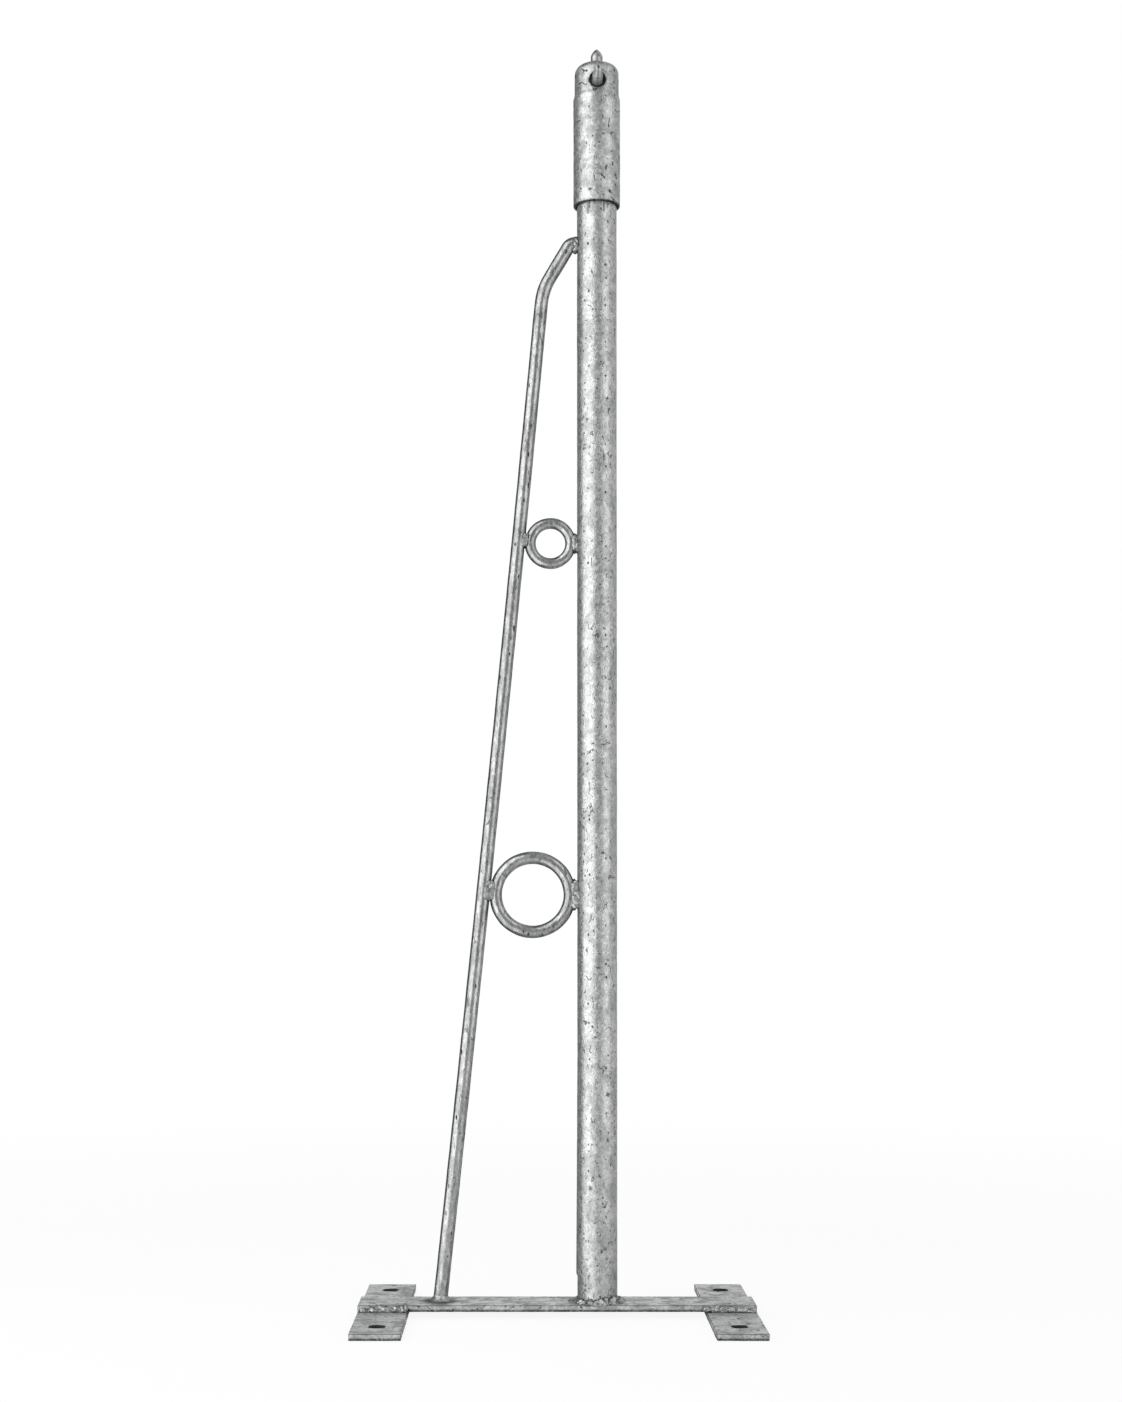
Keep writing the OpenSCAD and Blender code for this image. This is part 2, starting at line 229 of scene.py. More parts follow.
# Grey cards stand round the set with a gap behind the mast
def makeCards(own, lidSides=36):
    material, place = newMaterial("greyCard")
    part = addNode("SeparateXYZ", {0: place})

    def blend(axis, first, second):
        return spread(part[axis], *own["blend"][axis], first, second, "LINEAR")

    level = blend("Y", blend("Z", *own["front"]), blend("X", *own["rear"]))
    addNode("OutputMaterial", {0: whiteGlow(level)})
    gap, steps, radius = own["backGap"], own["steps"], own["radius"]
    vertices = []
    for i in range(steps + 1):
        turn = radians(90 + gap + (360 - 2 * gap) * i / steps)
        vertices += [(radius * cos(turn), radius * sin(turn), z) for z in own["reach"]]
    faces = [[2 * i, 2 * i + 1, 2 * i + 3, 2 * i + 2] for i in range(steps)]
    for z in own["reach"]:
        faces.append([len(vertices) + i for i in range(lidSides)])
        vertices += circleAt(Vector((0, 0, z)), radius * own["lid"], lidSides)
    onlyMirrored(linkMesh("greyCards", vertices, faces), material)


boxSettings = {  # two floor points under the box's ends, and its level of brightness
    "left": ((-0.62, -2.15), (-2.25, 0.05), 1.35), "right": ((1.25, -1.95), (2.35, -0.65), 0.76),
}
boxTop = 4.3


# A tall soft box on the floor, turned to face the mast
def makeSoftBox(name, start, end, height, level):
    width = dist(start, end)
    lamp = bpy.data.lights.new(name, "AREA")
    lamp.shape = "RECTANGLE"
    lamp.size = width
    lamp.size_y = height
    lamp.energy = level * pi * width * height
    box = linkObject(name, lamp)
    middle = Vector(((start[0] + end[0]) / 2, (start[1] + end[1]) / 2, height / 2))
    along = Vector((end[0] - start[0], end[1] - start[1], 0)).normalized()
    up = Vector((0, 0, 1))
    out = along.cross(up)
    if out.dot(middle) < 0:
        along, out = -along, -out
    box.matrix_world = Matrix((along, up, out)).transposed().to_4x4()
    box.location = middle
    box.visible_camera = False


# The box's light carries on below the floor, so that the mast's foot keeps its bright band
def makeSkirt(name, start, end, foot, level):
    material, _ = newMaterial(name)
    addNode("OutputMaterial", {0: whiteGlow(level)})
    material.cycles.emission_sampling = "NONE"
    corners = [(*start, foot), (*end, foot), (*end, 0.0), (*start, 0.0)]
    onlyMirrored(linkMesh(name, corners, [[0, 1, 2, 3]]), material)


makeWorld(roomSettings)
makeFloor(roomSettings)
makeCards(cardSettings)
for side, (start, end, level) in boxSettings.items():
    makeSoftBox(side + "SoftBox", start, end, boxTop, level)
    makeSkirt(side + "Skirt", start, end, cardSettings["reach"][0], level)
print("studio ready")


# Adds a group's named sockets, each with its kind
def addSockets(tree, side, kinds):
    for label, kind in kinds.items():
        tree.interface.new_socket(label, in_out=side, socket_type="NodeSocket" + kind)


# Moves a pattern's position about, so that its edges turn ragged
def raggedPlace(place, size, reach):
    wander = noiseAt(place, maths("DIVIDE", 1.0, size), 2.0)["Color"]
    centred = vectorMaths("SUBTRACT", wander, (0.5, 0.5, 0.5))
    return vectorMaths("ADD", place, scaled(centred, times(size, reach)))


# The group's inputs and the keys of a look that they take
zincInputs = {"Cloud Size": "cloudSize", "Grain Size": "grainSize", "Pit Spacing": "pitSpacing",
        "Pit Amount": "pitAmount", "Mark Amount": "markAmount"}


# Hot-dip zinc: matt clouds, spangle, fine grain, dross pits in clusters and short wandering marks
def makeZincGroup():
    group = startTree(bpy.data.node_groups.new("zincSkin", "ShaderNodeTree"))
    addSockets(group, "INPUT", {"Place": "Vector"} | {label: "Float" for label in zincInputs})
    given = addNode("NodeGroupInput")
    place, grainSize, pitSpacing = given["Place"], given["Grain Size"], given["Pit Spacing"]

    def scaleFor(count, size):
        return maths("DIVIDE", count, size)

    loose = raggedPlace(place, given["Cloud Size"], 0.9)
    cloud = spread(noiseAt(loose, scaleFor(1.0, given["Cloud Size"]), 5.0, 0.62)["Fac"], 0.42, 0.60)
    grain = spread(noiseAt(place, scaleFor(1.0, grainSize), 2.5, 0.65)["Fac"], 0.34, 0.66)
    cells = addNode("TexVoronoi", {"Vector": raggedPlace(place, grainSize, 0.8),
            "Scale": scaleFor(0.5, grainSize)})
    fleck = addNode("SeparateColor", {0: cells["Color"]})[0]
    # pits gather where this slow noise is high
    crowd = noiseAt(place, scaleFor(0.22, pitSpacing), 1.0)["Fac"]
    crowded = spread(crowd, 0.38, 0.66, 0.15, 1.7)
    pitPlace = raggedPlace(place, times(grainSize, 1.2), 0.9)
    pitCells = addNode("TexVoronoi", {"Vector": pitPlace, "Scale": scaleFor(1.0, pitSpacing)})
    lot = addNode("SeparateColor", {0: pitCells["Color"]})
    kept = maths("LESS_THAN", lot[0], times(given["Pit Amount"], crowded))
    size = maths("MULTIPLY_ADD", lot[1], 0.16, 0.10)
    depth = maths("SUBTRACT", size, pitCells["Distance"])
    pit = times(spread(depth, -0.05, 0.05), kept)
    # short marks: the level line of one noise inside the blobs of another
    line = noiseAt(place, scaleFor(0.42, pitSpacing), 1.6)["Fac"]
    off = maths("ABSOLUTE", maths("SUBTRACT", line, 0.5))
    thin = spread(off, 0.008, 0.026, 1.0, 0.0)
    near = spread(noiseAt(place, scaleFor(1.05, pitSpacing), 1.0)["Fac"], 0.54, 0.62)
    marks = times(times(thin, near), given["Mark Amount"])
    dark = maths("MAXIMUM", pit, marks)
    raised = maths("MULTIPLY_ADD", grain, 0.42, times(cloud, 0.30))
    raised = maths("MULTIPLY_ADD", fleck, 0.16, raised)
    height = maths("SUBTRACT", raised, times(dark, 0.9))
    results = {"Cloud": cloud, "Fleck": fleck, "Grain": grain, "Pit": dark, "Height": height}
    addSockets(group, "OUTPUT", {label: "Float" for label in results})
    addNode("NodeGroupOutput", results)
    return group


zincGroup = makeZincGroup()

# tones of bright, matt and pitted zinc; sizes and bump depth in metres
zincLooks = {
    "galvanisedTube": {
        "bright": (0.62, 0.63, 0.625), "dull": (0.47, 0.48, 0.48), "pit": (0.12, 0.12, 0.12),
        "metal": 0.88, "rough": (0.19, 0.34), "bump": 0.00026, "stretch": (1, 1, 0.75), "edge": 0.8,
        "cloudSize": 0.026, "grainSize": 0.0021, "pitSpacing": 0.0066, "pitAmount": 0.27, "markAmount": 0.9,
    },
    "galvanisedHead": {
        "bright": (0.62, 0.63, 0.625), "dull": (0.44, 0.45, 0.45), "pit": (0.07, 0.07, 0.07),
        "metal": 0.88, "rough": (0.24, 0.40), "bump": 0.00034, "stretch": (1, 0.8, 0.8), "edge": 0.8,
        "cloudSize": 0.017, "grainSize": 0.0022, "pitSpacing": 0.0078, "pitAmount": 0.30, "markAmount": 1.0,
    },
    "galvanisedFlat": {
        "bright": (0.60, 0.61, 0.61), "dull": (0.41, 0.42, 0.42), "pit": (0.06, 0.06, 0.06),
        "metal": 0.72, "rough": (0.32, 0.56), "bump": 0.00034, "stretch": (0.75, 1, 1), "edge": 0.9,
        "cloudSize": 0.020, "grainSize": 0.0019, "pitSpacing": 0.0074, "pitAmount": 0.20, "markAmount": 0.9,
    },
    "galvanisedRod": {
        "bright": (0.52, 0.53, 0.525), "dull": (0.38, 0.39, 0.39), "pit": (0.05, 0.05, 0.05),
        "metal": 1.0, "rough": (0.13, 0.25), "bump": 0.00012, "stretch": (1, 1, 0.4), "edge": 0.2,
        "cloudSize": 0.012, "grainSize": 0.0017, "pitSpacing": 0.0072, "pitAmount": 0.17, "markAmount": 0.6,
    },
    "weldZinc": {
        "bright": (0.56, 0.57, 0.565), "dull": (0.36, 0.37, 0.37), "pit": (0.04, 0.04, 0.04),
        "metal": 0.85, "rough": (0.18, 0.34), "bump": 0.00018, "stretch": (1, 1, 1), "edge": 0.35,
        "cloudSize": 0.008, "grainSize": 0.0014, "pitSpacing": 0.0060, "pitAmount": 0.16, "markAmount": 0.5,
    },
}

# reach of the painted crevice shade, and the black used for dross and for painted shade
drossAndShadeSettings = {"reach": 0.009, "colour": (0.022, 0.022, 0.023, 1)}


# The shares that a piece marks with its own attribute: black dross, and painted shade where the piece marks
# it
def markedDark():
    return addNode("Attribute", attribute_name="dark")["Fac"]


# Every finish ends in this shader
def steelShader(colour, metal, rough, height, bump, edge=1.0):
    normal = addNode("Bump", {"Height": height, "Strength": 1.0, "Distance": bump})[0]
    shader = addNode("BsdfPrincipled", {
        "Base Color": colour, "Metallic": metal, "Roughness": rough, "Normal": normal,
        "Specular Tint": (edge, edge, edge, 1)})
    addNode("OutputMaterial", {0: shader[0]})


def makeZinc(name, look):
    material, place = newMaterial(name)
    along = addNode("Mapping", {"Vector": place, "Scale": look["stretch"]})[0]
    sizes = {label: look[key] for label, key in zincInputs.items()}
    cloud, fleck, grain, pit, height = addNode("Group", {"Place": along} | sizes, node_tree=zincGroup)
    base = mixColours(cloud, (*look["bright"], 1), (*look["dull"], 1))
    shade = times(ramp(fleck, 0.80, 1.14), ramp(grain, 0.80, 1.12))
    # painted shade in the crevices that ambient occlusion finds, and black where the piece is marked, for
    # dross and for painted shade
    crevice = addNode("AmbientOcclusion", {"Distance": drossAndShadeSettings["reach"]}, samples=6)
    closed = spread(crevice["AO"], 0.34, 0.74, 1.0, 0.0)
    broken = spread(grain, 0.1, 0.8, 0.55, 1.0)
    drossAndShade = times(maths("MAXIMUM", closed, markedDark()), broken)
    colour = mixColours(pit, scaled(base, shade), (*look["pit"], 1))
    colour = mixColours(drossAndShade, colour, drossAndShadeSettings["colour"])
    rough = maths("ADD", ramp(cloud, *look["rough"]), ramp(fleck, -0.07, 0.09))
    rough = maths("MULTIPLY_ADD", maths("MAXIMUM", pit, drossAndShade), 0.3, rough)
    steelShader(colour, look["metal"], rough, height, look["bump"], look["edge"])
    return material


finishes = {name: makeZinc(name, look) for name, look in zincLooks.items()}

turnedLook = {
    "steel": (0.50, 0.51, 0.52, 1), "stain": (0.16, 0.165, 0.17, 1), "stainScale": 150.0, "metal": 0.95,
    "rough": (0.18, 0.36), "ringPitch": 0.0006, "bump": 0.00003,
}


# Turned steel: fine tool rings along the pin and a few grey stains
def makeTurned(look):
    material, place = newMaterial("turnedPin")
    stained = spread(noiseAt(place, look["stainScale"], 4.0, 0.65)["Fac"], 0.45, 0.68)
    colour = mixColours(stained, look["steel"], look["stain"])
    up = addNode("SeparateXYZ", {0: place})["Z"]
    rings = maths("SINE", times(up, 2 * pi / look["ringPitch"]))
    steelShader(colour, look["metal"], ramp(stained, *look["rough"]), rings, look["bump"])
    return material


finishes["turnedPin"] = makeTurned(turnedLook)

# edges and seam are where one tone turns into another, the seam being a line of painted shade along the
# nose; the front is negative
spindleLook = {
    "stub": (0.44, 0.44, 0.445, 1), "nose": (0.74, 0.75, 0.76, 1), "tip": (0.05, 0.05, 0.05, 1),
    "noseEdge": (-0.0506, -0.0494), "tipEdge": (-0.0778, -0.0752), "stainScale": 420.0,
    "seam": (0.00088, 0.00264), "seamWander": 0.0010, "metal": 0.55, "rough": 0.26, "bump": 0.0001,
}


# The spindle: a grey stub, a bright nose with a darker line of painted shade along its middle, and a black
# tip
def makeSpindleSteel(look, middle):
    material, place = newMaterial("turnedSpindle")
    part = addNode("SeparateXYZ", {0: place})
    nose = spread(part["Y"], *look["noseEdge"], 1.0, 0.0)
    tip = spread(part["Y"], *look["tipEdge"], 1.0, 0.0)
    stain = noiseAt(place, look["stainScale"], 3.0)["Fac"]
    aside = maths("ABSOLUTE", maths("SUBTRACT", part["X"], middle))
    aside = maths("MULTIPLY_ADD", stain, look["seamWander"], aside)
    paintedShadeLine = spread(aside, *look["seam"], 0.5, 1.0)
    paintedShadeLine = maths("MAXIMUM", paintedShadeLine, spread(nose, 0.0, 1.0, 0.8, 0.0))
    colour = mixColours(nose, look["stub"], look["nose"])
    colour = mixColours(tip, colour, look["tip"])
    tone = times(paintedShadeLine, spread(stain, 0.3, 0.7, 0.8, 1.1))
    colour = mixColours(markedDark(), scaled(colour, tone), drossAndShadeSettings["colour"])
    steelShader(colour, look["metal"], look["rough"], stain, look["bump"], 0.3)
    return material


spindleLow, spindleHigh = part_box("lock_spindle")
finishes["turnedSpindle"] = makeSpindleSteel(spindleLook, (spindleLow.x + spindleHigh.x) / 2)

paintedShadeLook = {"dark": (0.012, 0.012, 0.012, 1), "light": (0.045, 0.045, 0.045, 1), "scale": 260.0,
        "metal": 0.4, "rough": (0.5, 0.75), "bump": 0.0002}


# Near-black steel inside the sleeve and the holes: painted shade where they lie in shadow, with a faint
# crust of noise
def makePaintedShadeSteel(look):
    material, place = newMaterial("paintedShadeSteel")
    crust = noiseAt(place, look["scale"], 4.0)["Fac"]
    colour = mixColours(crust, look["dark"], look["light"])
    rough = spread(crust, 0.3, 0.7, *look["rough"])
    steelShader(colour, look["metal"], rough, crust, look["bump"])
    return material


finishes["paintedShadeSteel"] = makePaintedShadeSteel(paintedShadeLook)
print("finishes ready:", ", ".join(sorted(finishes)))


def limit(value, low=0.0, high=1.0):
    return min(max(value, low), high)


# Sum of noise layers, each a (size, depth) pair in metres
def lumpAt(point, layers, seed=0.0):
    total = 0.0
    for size, depth in layers:
        total += depth * noise.noise(point / size + Vector((seed, seed * 1.7, seed * 0.3)))
        seed += 7.3
    return total


def clampInside(piece, low, high):
    for vertex in piece.data.vertices:
        vertex.co = [limit(vertex.co[i], low[i], high[i]) for i in range(3)]


# Each vertex's share of black, for dross and for painted shade, read by the zinc finishes
def markDark(piece, shareAt):
    shares = [shareAt(vertex) for vertex in piece.data.vertices]
    piece.data.attributes.new("dark", "FLOAT", "POINT").data.foreach_set("value", shares)


# Turns a piece's modifiers into plain mesh
def bake(piece):
    graph = bpy.context.evaluated_depsgraph_get()
    mesh = bpy.data.meshes.new_from_object(piece.evaluated_get(graph))
    old = piece.data
    piece.modifiers.clear()
    piece.data = mesh
    bpy.data.meshes.remove(old)


sharpAngle = radians(55)


def finishPiece(piece, finish, slot, *nodes):
    clampInside(piece, *cadBox)
    if not piece.data.materials:
        piece.data.materials.append(finishes[finish])
    piece.data.shade_smooth()
    piece.data.set_sharp_from_angle(angle=sharpAngle)
    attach(piece, "root")
    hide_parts(*nodes)


# Rows from one (radius, reach) to the next, the first left out; bend above 1 keeps the first radius longer
def rowsTo(first, second, steps, bend=1.0):
    (radius, reach), (nextRadius, nextReach) = first, second
    return [(radius + (nextRadius - radius) * (k / steps) ** bend, reach + (nextReach - reach) * k / steps)
            for k in range(1, steps + 1)]


# Quads between rings of points, from the last ring back to the first where they are a loop
def ringFaces(rings, sides, loop):
    faces = []
    for k in range(rings if loop else rings - 1):
        here, above = k * sides, (k + 1) % rings * sides
        for i in range(sides):
            j = (i + 1) % sides
            faces.append([here + i, here + j, above + j, above + i])
    return faces


# A solid over rings of points, with a face at each end unless they are a loop
def skinRings(name, rings, loop=False):
    sides = len(rings[0])
    faces = ringFaces(len(rings), sides, loop)
    if not loop:
        last = (len(rings) - 1) * sides
        faces += [list(reversed(range(sides))), [last + i for i in range(sides)]]
    piece = linkMesh(name, [spot for ring in rings for spot in ring], faces)
    turned = bmesh.new()
    turned.from_mesh(piece.data)
    bmesh.ops.recalc_face_normals(turned, faces=turned.faces)
    turned.to_mesh(piece.data)
    turned.free()
    return piece


# A turned shell: rows of (radius, height) outside then inside, a closed loop pushed out by noise
def turnedShell(name, centre, rows, sides, push):
    vertices = []
    for radius, z in rows:
        for ray in circleAt(Vector(), 1, sides):
            vertices.append(centre + ray * (radius + push(ray, radius, z)) + Vector((0, 0, z)))
    return linkMesh(name, vertices, ringFaces(len(rows), sides, True))


# Cuts a round hole from start to end along an axis; its wall takes the piece's second material
def cutHole(piece, centre, radius, axis, start, end, sides=72):
    across = [Vector(v) for v in ((1, 0, 0), (0, 1, 0), (0, 0, 1))]
    ahead = across.pop("xyz".index(axis))
    base = centre - ahead * centre.dot(ahead)
    cutter = skinRings("holeCutter", [circleAt(base + ahead * reach, radius, sides, *across)
            for reach in (start, end)])
    for material in piece.data.materials:
        cutter.data.materials.append(material)
    for face in cutter.data.polygons:
        face.material_index = 1
    cut = piece.modifiers.new("hole", "BOOLEAN")
    cut.operation = "DIFFERENCE"
    cut.solver = "EXACT"
    cut.object = cutter
    bake(piece)
    bpy.data.objects.remove(cutter)


tubeLow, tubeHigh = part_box("pole_tube")
tubeCentre = Vector(((tubeLow.x + tubeHigh.x) / 2, 0, 0))
tubeRadius = (tubeHigh.x - tubeLow.x) / 2
barTop = tubeLow.z
sleeveLow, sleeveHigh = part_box("head_sleeve")
capLow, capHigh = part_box("head_cap")

tubeSettings = {
    "wall": 0.0036, "sides": 96, "rowPitch": 0.0028, "thin": 0.0001,
    "lumps": ((0.055, 0.00022), (0.014, 0.00010), (0.006, 0.00005)),
    "runs": 22,  # long thin runs of zinc
    "runWidth": (0.002, 0.006), "runThickness": (0.00015, 0.0004), "runLength": (0.05, 0.30),
    "runFoot": (0.002, 0.003),  # its blunt end starts this much lower and fills over the second
    "runReach": 2.2,  # in widths to each side
    "runFade": 1.3,
    # on the brace's side: turn in degrees, lower end, upper end, width, thickness
    "thickRun": (183, 0.060, 0.42, 0.011, 0.0019),
    # black streaks that ran out of the sleeve: turn in degrees, length
    "streaks": ((-118, 0.018), (-113, 0.011), (-98, 0.004), (-71, 0.017), (-66, 0.006), (-60, 0.010),
        (20, 0.02), (75, 0.012), (140, 0.02)),
    "streakWidth": 0.0022,
    "streakTop": 0.004,  # they start this far up inside the sleeve
    # pocks near the foot: turn in degrees, height above the bar, radius
    "pocks": ((-69, 0.082, 0.0036), (-97, 0.068, 0.0026), (-63, 0.068, 0.0028), (-52, 0.062, 0.0028),
        (-42, 0.060, 0.0028)),
    "footShade": (0.20, -35, 0.30),  # painted shade above the foot weld, on the side that faces the turn: share, turn, height
    "seed": 4,
}


def zincRuns(own, low, high):
    dice = random.Random(own["seed"])
    turn, *run = own["thickRun"]
    runs = [(radians(turn), *run)]
    for _ in range(own["runs"]):
        bottom = dice.uniform(low, high - own["runLength"][1])
        runs.append((dice.uniform(0, 2 * pi), bottom, bottom + dice.uniform(*own["runLength"]),
                dice.uniform(*own["runWidth"]), dice.uniform(*own["runThickness"])))
    return runs


def makeTube(own):
    low, high = barTop, tubeHigh.z
    count = round((high - low) / own["rowPitch"])
    bore = tubeRadius - own["wall"]
    rows = [(tubeRadius, low)] + rowsTo((tubeRadius, low), (tubeRadius, high), count)
    rows += [(bore, high), (bore, low)]
    runs = zincRuns(own, low, high)
    drop, rise = own["runFoot"]

    # distance round the tube from a turn
    def aside(spot, turn):
        return remainder(atan2(spot.y, spot.x) - turn, 2 * pi) * tubeRadius

    # a run is thickest just above its blunt lower end
    def runAt(run, spot):
        middle, bottom, top, width, thick = run
        across = aside(spot, middle) / width
        if not bottom - drop < spot.z < top or abs(across) > own["runReach"]:
            return 0.0
        up = (spot.z - bottom) / (top - bottom)
        foot = limit((spot.z - bottom + drop) / rise)
        return thick * foot * (1 - up) ** own["runFade"] * exp(-across * across)

    def push(ray, radius, z):
        if radius < tubeRadius:
            return 0.0
        spot = ray * radius + Vector((0, 0, z))
        return lumpAt(spot, own["lumps"], 1.0) - own["thin"] + sum(runAt(run, spot) for run in runs)

    piece = turnedShell("mastTube", tubeCentre, rows, own["sides"], push)

    def shareAt(vertex):
        spot = vertex.co - tubeCentre
        shares = [0.0]
        for turn, length in own["streaks"]:
            if sleeveLow.z - length < spot.z < sleeveLow.z + own["streakTop"]:
                shares.append(1 - abs(aside(spot, radians(turn))) / own["streakWidth"])
        for turn, z, reach in own["pocks"]:
            shares.append(1.2 - hypot(aside(spot, radians(turn)), spot.z - barTop - z) / reach)
        # painted shade low on the side facing the turn, fading out with height
        dull, turn, reach = own["footShade"]
        facing = cos(atan2(spot.y, spot.x) - radians(turn))
        shares.append(dull * max(0.0, facing) * (1 - (spot.z - barTop) / reach))
        return min(1.0, max(shares))

    markDark(piece, shareAt)
    finishPiece(piece, "galvanisedTube", "galvanised_tube", "pole_tube")


makeTube(tubeSettings)

headSettings = {
    "bore": 0.03175, "rimCorner": 0.0009, "capBore": 0.0305, "plugTop": 1.8735, "capSide": 0.039,
    "domeCorner": 0.014,
    "shoulder": (-0.0010, 0.0100),  # where it draws in to the cap, from its top end
    "pinHole": 0.005, "hole": 0.0125, "holeCut": (-0.006, -0.06), "sides": 96, "rowPitch": 0.0022,
    "thin": 0.00015, "lumps": ((0.034, 0.00030), (0.011, 0.00024), (0.005, 0.00008)),
    "holeShadowRing": (0.0003, 0.0014),  # painted shadow round the hole: full for the first, then falls by 1
    "rimShadowRing": (1.2, 0.0017),  # painted shadow of the gap at the sleeve's rim: share, and height over which it falls by 1
    "underHole": (0.62, 0.011, 0.030),  # darker patch below the hole: share, half width, length
    "capDull": 0.15,
}


# Sleeve, cap and the dressed seam between them read as one skin of zinc
def makeHead(own):
    radius, capRadius = (sleeveHigh.x - sleeveLow.x) / 2, (capHigh.x - capLow.x) / 2
    low, high, corner = sleeveLow.z, sleeveHigh.z, own["rimCorner"]
    bore, sides = own["bore"], own["sides"]
    start, rise = high + own["shoulder"][0], own["shoulder"][1]
    spring = capLow.z + own["capSide"]

    def upright(radius, bottom, top):
        return rowsTo((radius, bottom), (radius, top), round((top - bottom) / own["rowPitch"]))

    rows = [(bore + 0.0003, low), (radius - corner, low), (radius - corner * 0.3, low + corner * 0.3),
            (radius, low + corner)] + upright(radius, low + corner, start)
    for part in (k / 8 for k in range(1, 9)):
        rows.append((radius - (radius - capRadius) * (3 * part ** 2 - 2 * part ** 3), start + rise * part))
    rows += upright(capRadius, start + rise, spring)
    # rounded corner, then the shallow crown that leaves it smoothly
    height, turn = capHigh.z - spring, own["domeCorner"]
    inset = capRadius - turn
    crown = (inset ** 2 + height ** 2 - turn ** 2) / (2 * (height - turn))
    depth = height - crown
    joint = atan2(-depth, inset)
    for angle in (joint * k / 9 for k in range(1, 10)):
        rows.append((inset + turn * cos(angle), spring + turn * sin(angle)))
    last = acos(own["pinHole"] / crown)
    for angle in (joint + (last - joint) * k / 7 for k in range(1, 8)):
        rows.append((crown * cos(angle), spring + depth + crown * sin(angle)))
    outside = len(rows)
    plugTop, capBore = own["plugTop"], own["capBore"]
    rows += [(own["pinHole"], plugTop), (capBore, plugTop), (capBore, high), (bore, high - 0.0005),
            (bore, low + 0.001)]
    skin = set(rows[1:outside])

    def push(ray, r, z):
        if (r, z) not in skin:
            return 0.0
        return lumpAt(ray * r + Vector((0, 0, z)), own["lumps"], 2.0) - own["thin"]

    piece = turnedShell("slipHead", tubeCentre, rows, sides, push)
    piece.data.materials.append(finishes["galvanisedHead"])
    piece.data.materials.append(finishes["paintedShadeSteel"])
    for face in piece.data.polygons:
        if not 0 < face.index // sides < outside - 1:
            face.material_index = 1
    middle = Vector((tubeCentre.x, 0, (spindleLow.z + spindleHigh.z) / 2))
    hole = own["hole"]
    cutHole(piece, middle, hole, "y", *own["holeCut"])

    # Dark shares: a darker cap, painted shadow at the rim and round the hole, and a darker patch below the
    # hole
    def shareAt(vertex):
        spot = vertex.co - middle
        shares = [own["capDull"] * limit((vertex.co.z - high) / rise)]
        full, fall = own["rimShadowRing"]
        shares.append(full - (vertex.co.z - low) / fall)
        if spot.y < 0:
            full, fall = own["holeShadowRing"]
            shares.append(1.0 - (hypot(spot.x, spot.z) - hole - full) / fall)
            share, half, length = own["underHole"]
            drop = -spot.z - hole
            if 0 < drop < length and abs(spot.x) < half:
                shares.append(share * (1 - (spot.x / half) ** 2) * (1 - drop / length))
        return limit(max(shares))

    markDark(piece, shareAt)
    finishPiece(piece, "galvanisedHead", "galvanised_tube", "head_sleeve", "head_cap", "cap_seam_weld")


makeHead(headSettings)
print("tube and head ready")


# Rows of (radius, reach) along an axis from a starting point, closed at both ends
def turnedSolid(name, start, axis, rows, sides, finish, slot, node):
    ahead, aside = Vector(axis), Vector((1, 0, 0))
    up = ahead.cross(aside)
    rings = [circleAt(start + ahead * reach, radius, sides, aside, up) for radius, reach in rows]
    piece = skinRings(name, rings)
    finishPiece(piece, finish, slot, node)
    return piece


pinSettings = {
    "spigot": 0.001,  # how much thinner the pin is inside the cap
    "neck": 0.0008,  # and just above it
    "neckEnds": (0.0004, 0.0018), "tip": 0.0118, "ogive": (1.4, 0.72), "leastRadius": 0.0003,
    "steps": 24, "sides": 64,
}


def makePin(own):
    low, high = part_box("top_pin")
    radius, base = (high.x - low.x) / 2, capHigh.z - low.z
    bottom, full = (base + reach for reach in own["neckEnds"])
    shank, top = high.z - own["tip"] - low.z, high.z - low.z
    rows = [(radius - own["spigot"], 0.0), (radius - own["neck"], bottom), (radius, full)]
    rows += rowsTo((radius, full), (radius, shank), 4)
    lean, roundness = own["ogive"]
    for k in range(1, own["steps"] + 1):
        part = sin(pi / 2 * k / own["steps"])
        rows.append((max(own["leastRadius"], radius * (1 - part ** lean) ** roundness),
                shank + (top - shank) * part))
    turnedSolid("topPin", Vector((tubeCentre.x, 0, low.z)), (0, 0, 1), rows, own["sides"],
            "turnedPin", "galvanised_rod", "top_pin")


makePin(pinSettings)

# radii, and lengths back from the spindle's front end
shaftSettings = {
    "stub": 0.0100, "chamfer": 0.0005,
    "neck": (0.0086, 0.0440),  # the stub is drawn in to this radius before it leaves the hole
    "taper": 0.014, "stubEnd": (0.0078, 0.02725),
    "groove": (0.0050, 0.0020),  # radius and width
    "grooveSlope": (0.0002, 0.0004),
    "nose": (0.0061, 0.0045),  # its radius behind and in front
    "noseRound": 0.0040,
    "bends": (1.2, 2.2),  # how late the stub and the nose draw in: 1 is even
    "leastRadius": 0.0003,
    "sideShade": (0.6, 0.80, 0.16),  # painted shade on the sides: share, and where it starts and fills
    "sides": 64,
}


